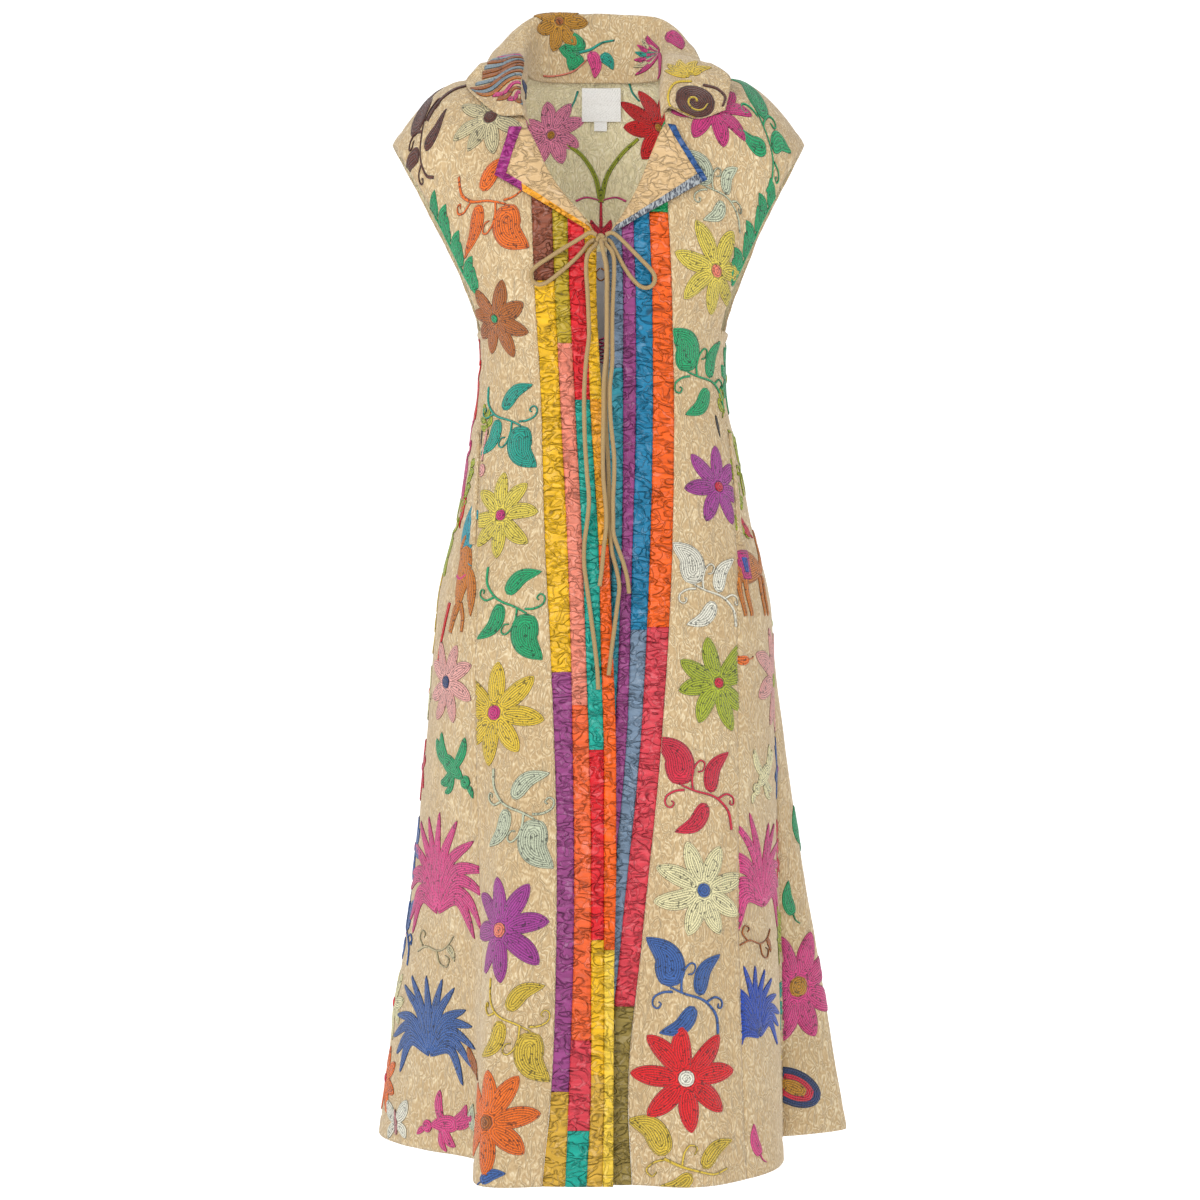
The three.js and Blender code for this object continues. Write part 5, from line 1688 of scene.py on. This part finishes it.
WING_STRIPES = (
    # wavy lines over the left wing of the collar: yarn, offset from its middle, start and end
    ("camel", 53, 16, 34), ("haze", 47, 10, 34), ("raspberry", 41, 4, 35), ("haze", 35, -2, 36),
    ("rust", 29, -6, 37), ("haze", 23, -10, 38), ("rust", 17, -14, 38),
    ("rust", 11, -16, 38), ("haze", 5, -24, 36), ("rust", -1, -32, 32), ("haze", -7, -34, 28),
    ("camel", -13, -30, 24), ("raspberry", -20, -14, 18), ("rust", -27, -12, 14),
    ("raspberry", -34, -4, 14), ("rust", -41, 2, 16), ("haze", -47, 8, 20),
)


def three_lobes(yarn):
    return [leaf((0, 0), turned((24, 0), angle), 11, yarn, 0) for angle in (95, 165, 235)]


def dress_collar():
    name = "collar_cloth"
    parts = [ribbon([(a, off + 2), (mix(a, b, 0.3), off - 3), (mix(a, b, 0.65), off + 3),
                     (b, off - 1)], stem_shape(3.1), YARN[yarn], 1.3)
             for yarn, off, a, b in WING_STRIPES]
    sew_at(name, 501, 76, parts, 34, 1.25)
    sew_at(name, 527, 92, [leaf((0, 16), (2, -18), 8, YARN["navy"])])
    sew_at(name, 560, 20, daisy(YARN["ochre"], YARN["rust"], 36, 7, 0, 0.25, 5))
    sew_at(name, 576, 52, three_lobes(YARN["emerald"]), 8)
    sew_at(name, 576, 52, [
        stem([(0, 0), (14, 4), (28, 12), (44, 15)], YARN["jade"], 2.2),
        leaf((14, 2), (19, -30), 8, YARN["raspberry"]),
        leaf((26, -2), (42, -20), 7, YARN["jade"]),
        stem([(-52, -34), (-30, -30), (-6, -22), (10, -8)], YARN["salmon"], 1.6),
    ])
    star = [leaf((0, 0), turned((52, 0), angle), 5.5, YARN[yarn], 0.06) for yarn, angle in (
        ("magenta", 138), ("cream", 150), ("magenta", 162), ("jade", 174), ("magenta", 186),
        ("cream", 198), ("magenta", 212), ("magenta", 290))]
    sew_at(name, 660, 52, star, 0, 0.85)
    sew_at(name, 672, 40, [leaf((-6, 16), (12, -14), 12, YARN["magenta"])])
    sew_at(name, 689, 72, [
        leaf((0, -8), turned((30, 0), angle), 7, YARN["daffodil"])
        for angle in (20, 60, 100, 140, 175)])
    sew_at(name, 694, 103, [disc((0, 0), 23, YARN["umber"], 1.5)])
    curl = stem([turned((1.5 + 1.9 * k, 0), 50 * k) for k in range(8)], YARN["straw"], 1.9)
    curl["height"] = curl["height"] + 1.5
    sew_at(name, 694, 103, [curl])
    sew_at(name, 716, 96, [
        stem([(-14, 16), (2, 12), (10, 0), (6, -14)], YARN["umber"], 2.4)])
    sew_at(name, 690, 103, [
        stem([(6, 28), (-14, 24), (-25, 8), (-25, -9), (-15, -22), (2, -27)],
             YARN["daffodil"], 2.2)])


def dress_inside():
    """Stems and a small open flower on the inside of the back, below the label."""
    stems = [
        ribbon([(0, -34), (-7, -4), (-22, 20), (-42, 36)], stem_shape(3.4), YARN["lime"], 1.3),
        ribbon([(0, -34), (7, -4), (24, 22), (44, 42)], stem_shape(3.4), YARN["lime"], 1.3),
        stem([(-30, -32), (-18, -28), (0, -32)], YARN["raspberry"], 1.6),
        stem([(30, -32), (18, -28), (0, -32)], YARN["raspberry"], 1.6),
        stem([(0, -66), (0, -50), (0, -32)], YARN["crimson"], 2.6),
        leaf((0, -72), (-12, -54), 5, YARN["crimson"]),
        leaf((0, -72), (12, -54), 5, YARN["crimson"], -0.12),
        stem([(-27, 96), (-31, 84), (-35, 76)], YARN["jade"], 1.6),
        stem([(33, 108), (37, 95), (46, 84)], YARN["jade"], 1.6),
    ]
    sew_at("back_inside", 600, 176, stems)


dress_front()
dress_pockets()
dress_hidden()
dress_collar()
dress_inside()
dress_gap()
make_embroidery()

# The stage: a pale floor this far under the hem, a backdrop and soft lights
FLOOR_DROP = 190
FLOOR_GLOW = 0.42
BACKDROP_GLOW = 0.56


def make_stage():
    """A pale floor under the hem, running up into a backdrop, with soft lights around."""
    floor_z = -(HELD_HEIGHT + FLOOR_DROP) / 1000
    profile = [(-7, 0), (3, 0), (3.6, 0.15), (4.2, 0.6), (4.5, 1.4), (4.6, 6)]
    vertices, faces = [], []
    for y, z in profile:
        vertices += [(-9, y, floor_z + z), (9, y, floor_z + z)]
    for k in range(len(profile) - 1):
        faces.append([2 * k, 2 * k + 1, 2 * k + 3, 2 * k + 2])
    mesh = bpy.data.meshes.new("floor")
    mesh.from_pydata(vertices, [], faces)
    mesh.polygons.foreach_set("use_smooth", [True] * len(faces))
    floor = bpy.data.objects.new("floor", mesh)
    bpy.context.scene.collection.objects.link(floor)
    made, _, shader = start_material("pale_floor", 0.9, 0.0, 0.1)
    shader.inputs["Base Color"].default_value = (0.9, 0.9, 0.9, 1)
    shader.inputs["Emission Color"].default_value = (1, 1, 1, 1)
    shader.inputs["Emission Strength"].default_value = FLOOR_GLOW
    mesh.materials.append(made)
    world = bpy.context.scene.world or bpy.data.worlds.new("world")
    bpy.context.scene.world = world
    world.use_nodes = True
    background = world.node_tree.nodes["Background"]
    background.inputs["Color"].default_value = (1, 1, 1, 1)
    background.inputs["Strength"].default_value = BACKDROP_GLOW
    lights = (
        ((-1.9, -2.6, 1.2), 1.1, 46),
        ((2.3, -2.2, 0.6), 1.8, 13),
        ((0, 2.4, 1.8), 2.0, 30),
        ((0.1, -2.6, 0.5), 0.8, 16),
    )
    for number, (at, size, power) in enumerate(lights):
        lamp = bpy.data.lights.new(f"soft_light_{number}", "AREA")
        lamp.size, lamp.energy = size, power
        obj = bpy.data.objects.new(lamp.name, lamp)
        obj.location = at
        aim = Vector((0, 0, -0.55)) - Vector(at)
        obj.rotation_euler = aim.to_track_quat("-Z", "Y").to_euler()
        bpy.context.scene.collection.objects.link(obj)
    bpy.context.scene.view_settings.view_transform = "Standard"


make_stage()
bpy.context.view_layer.update()
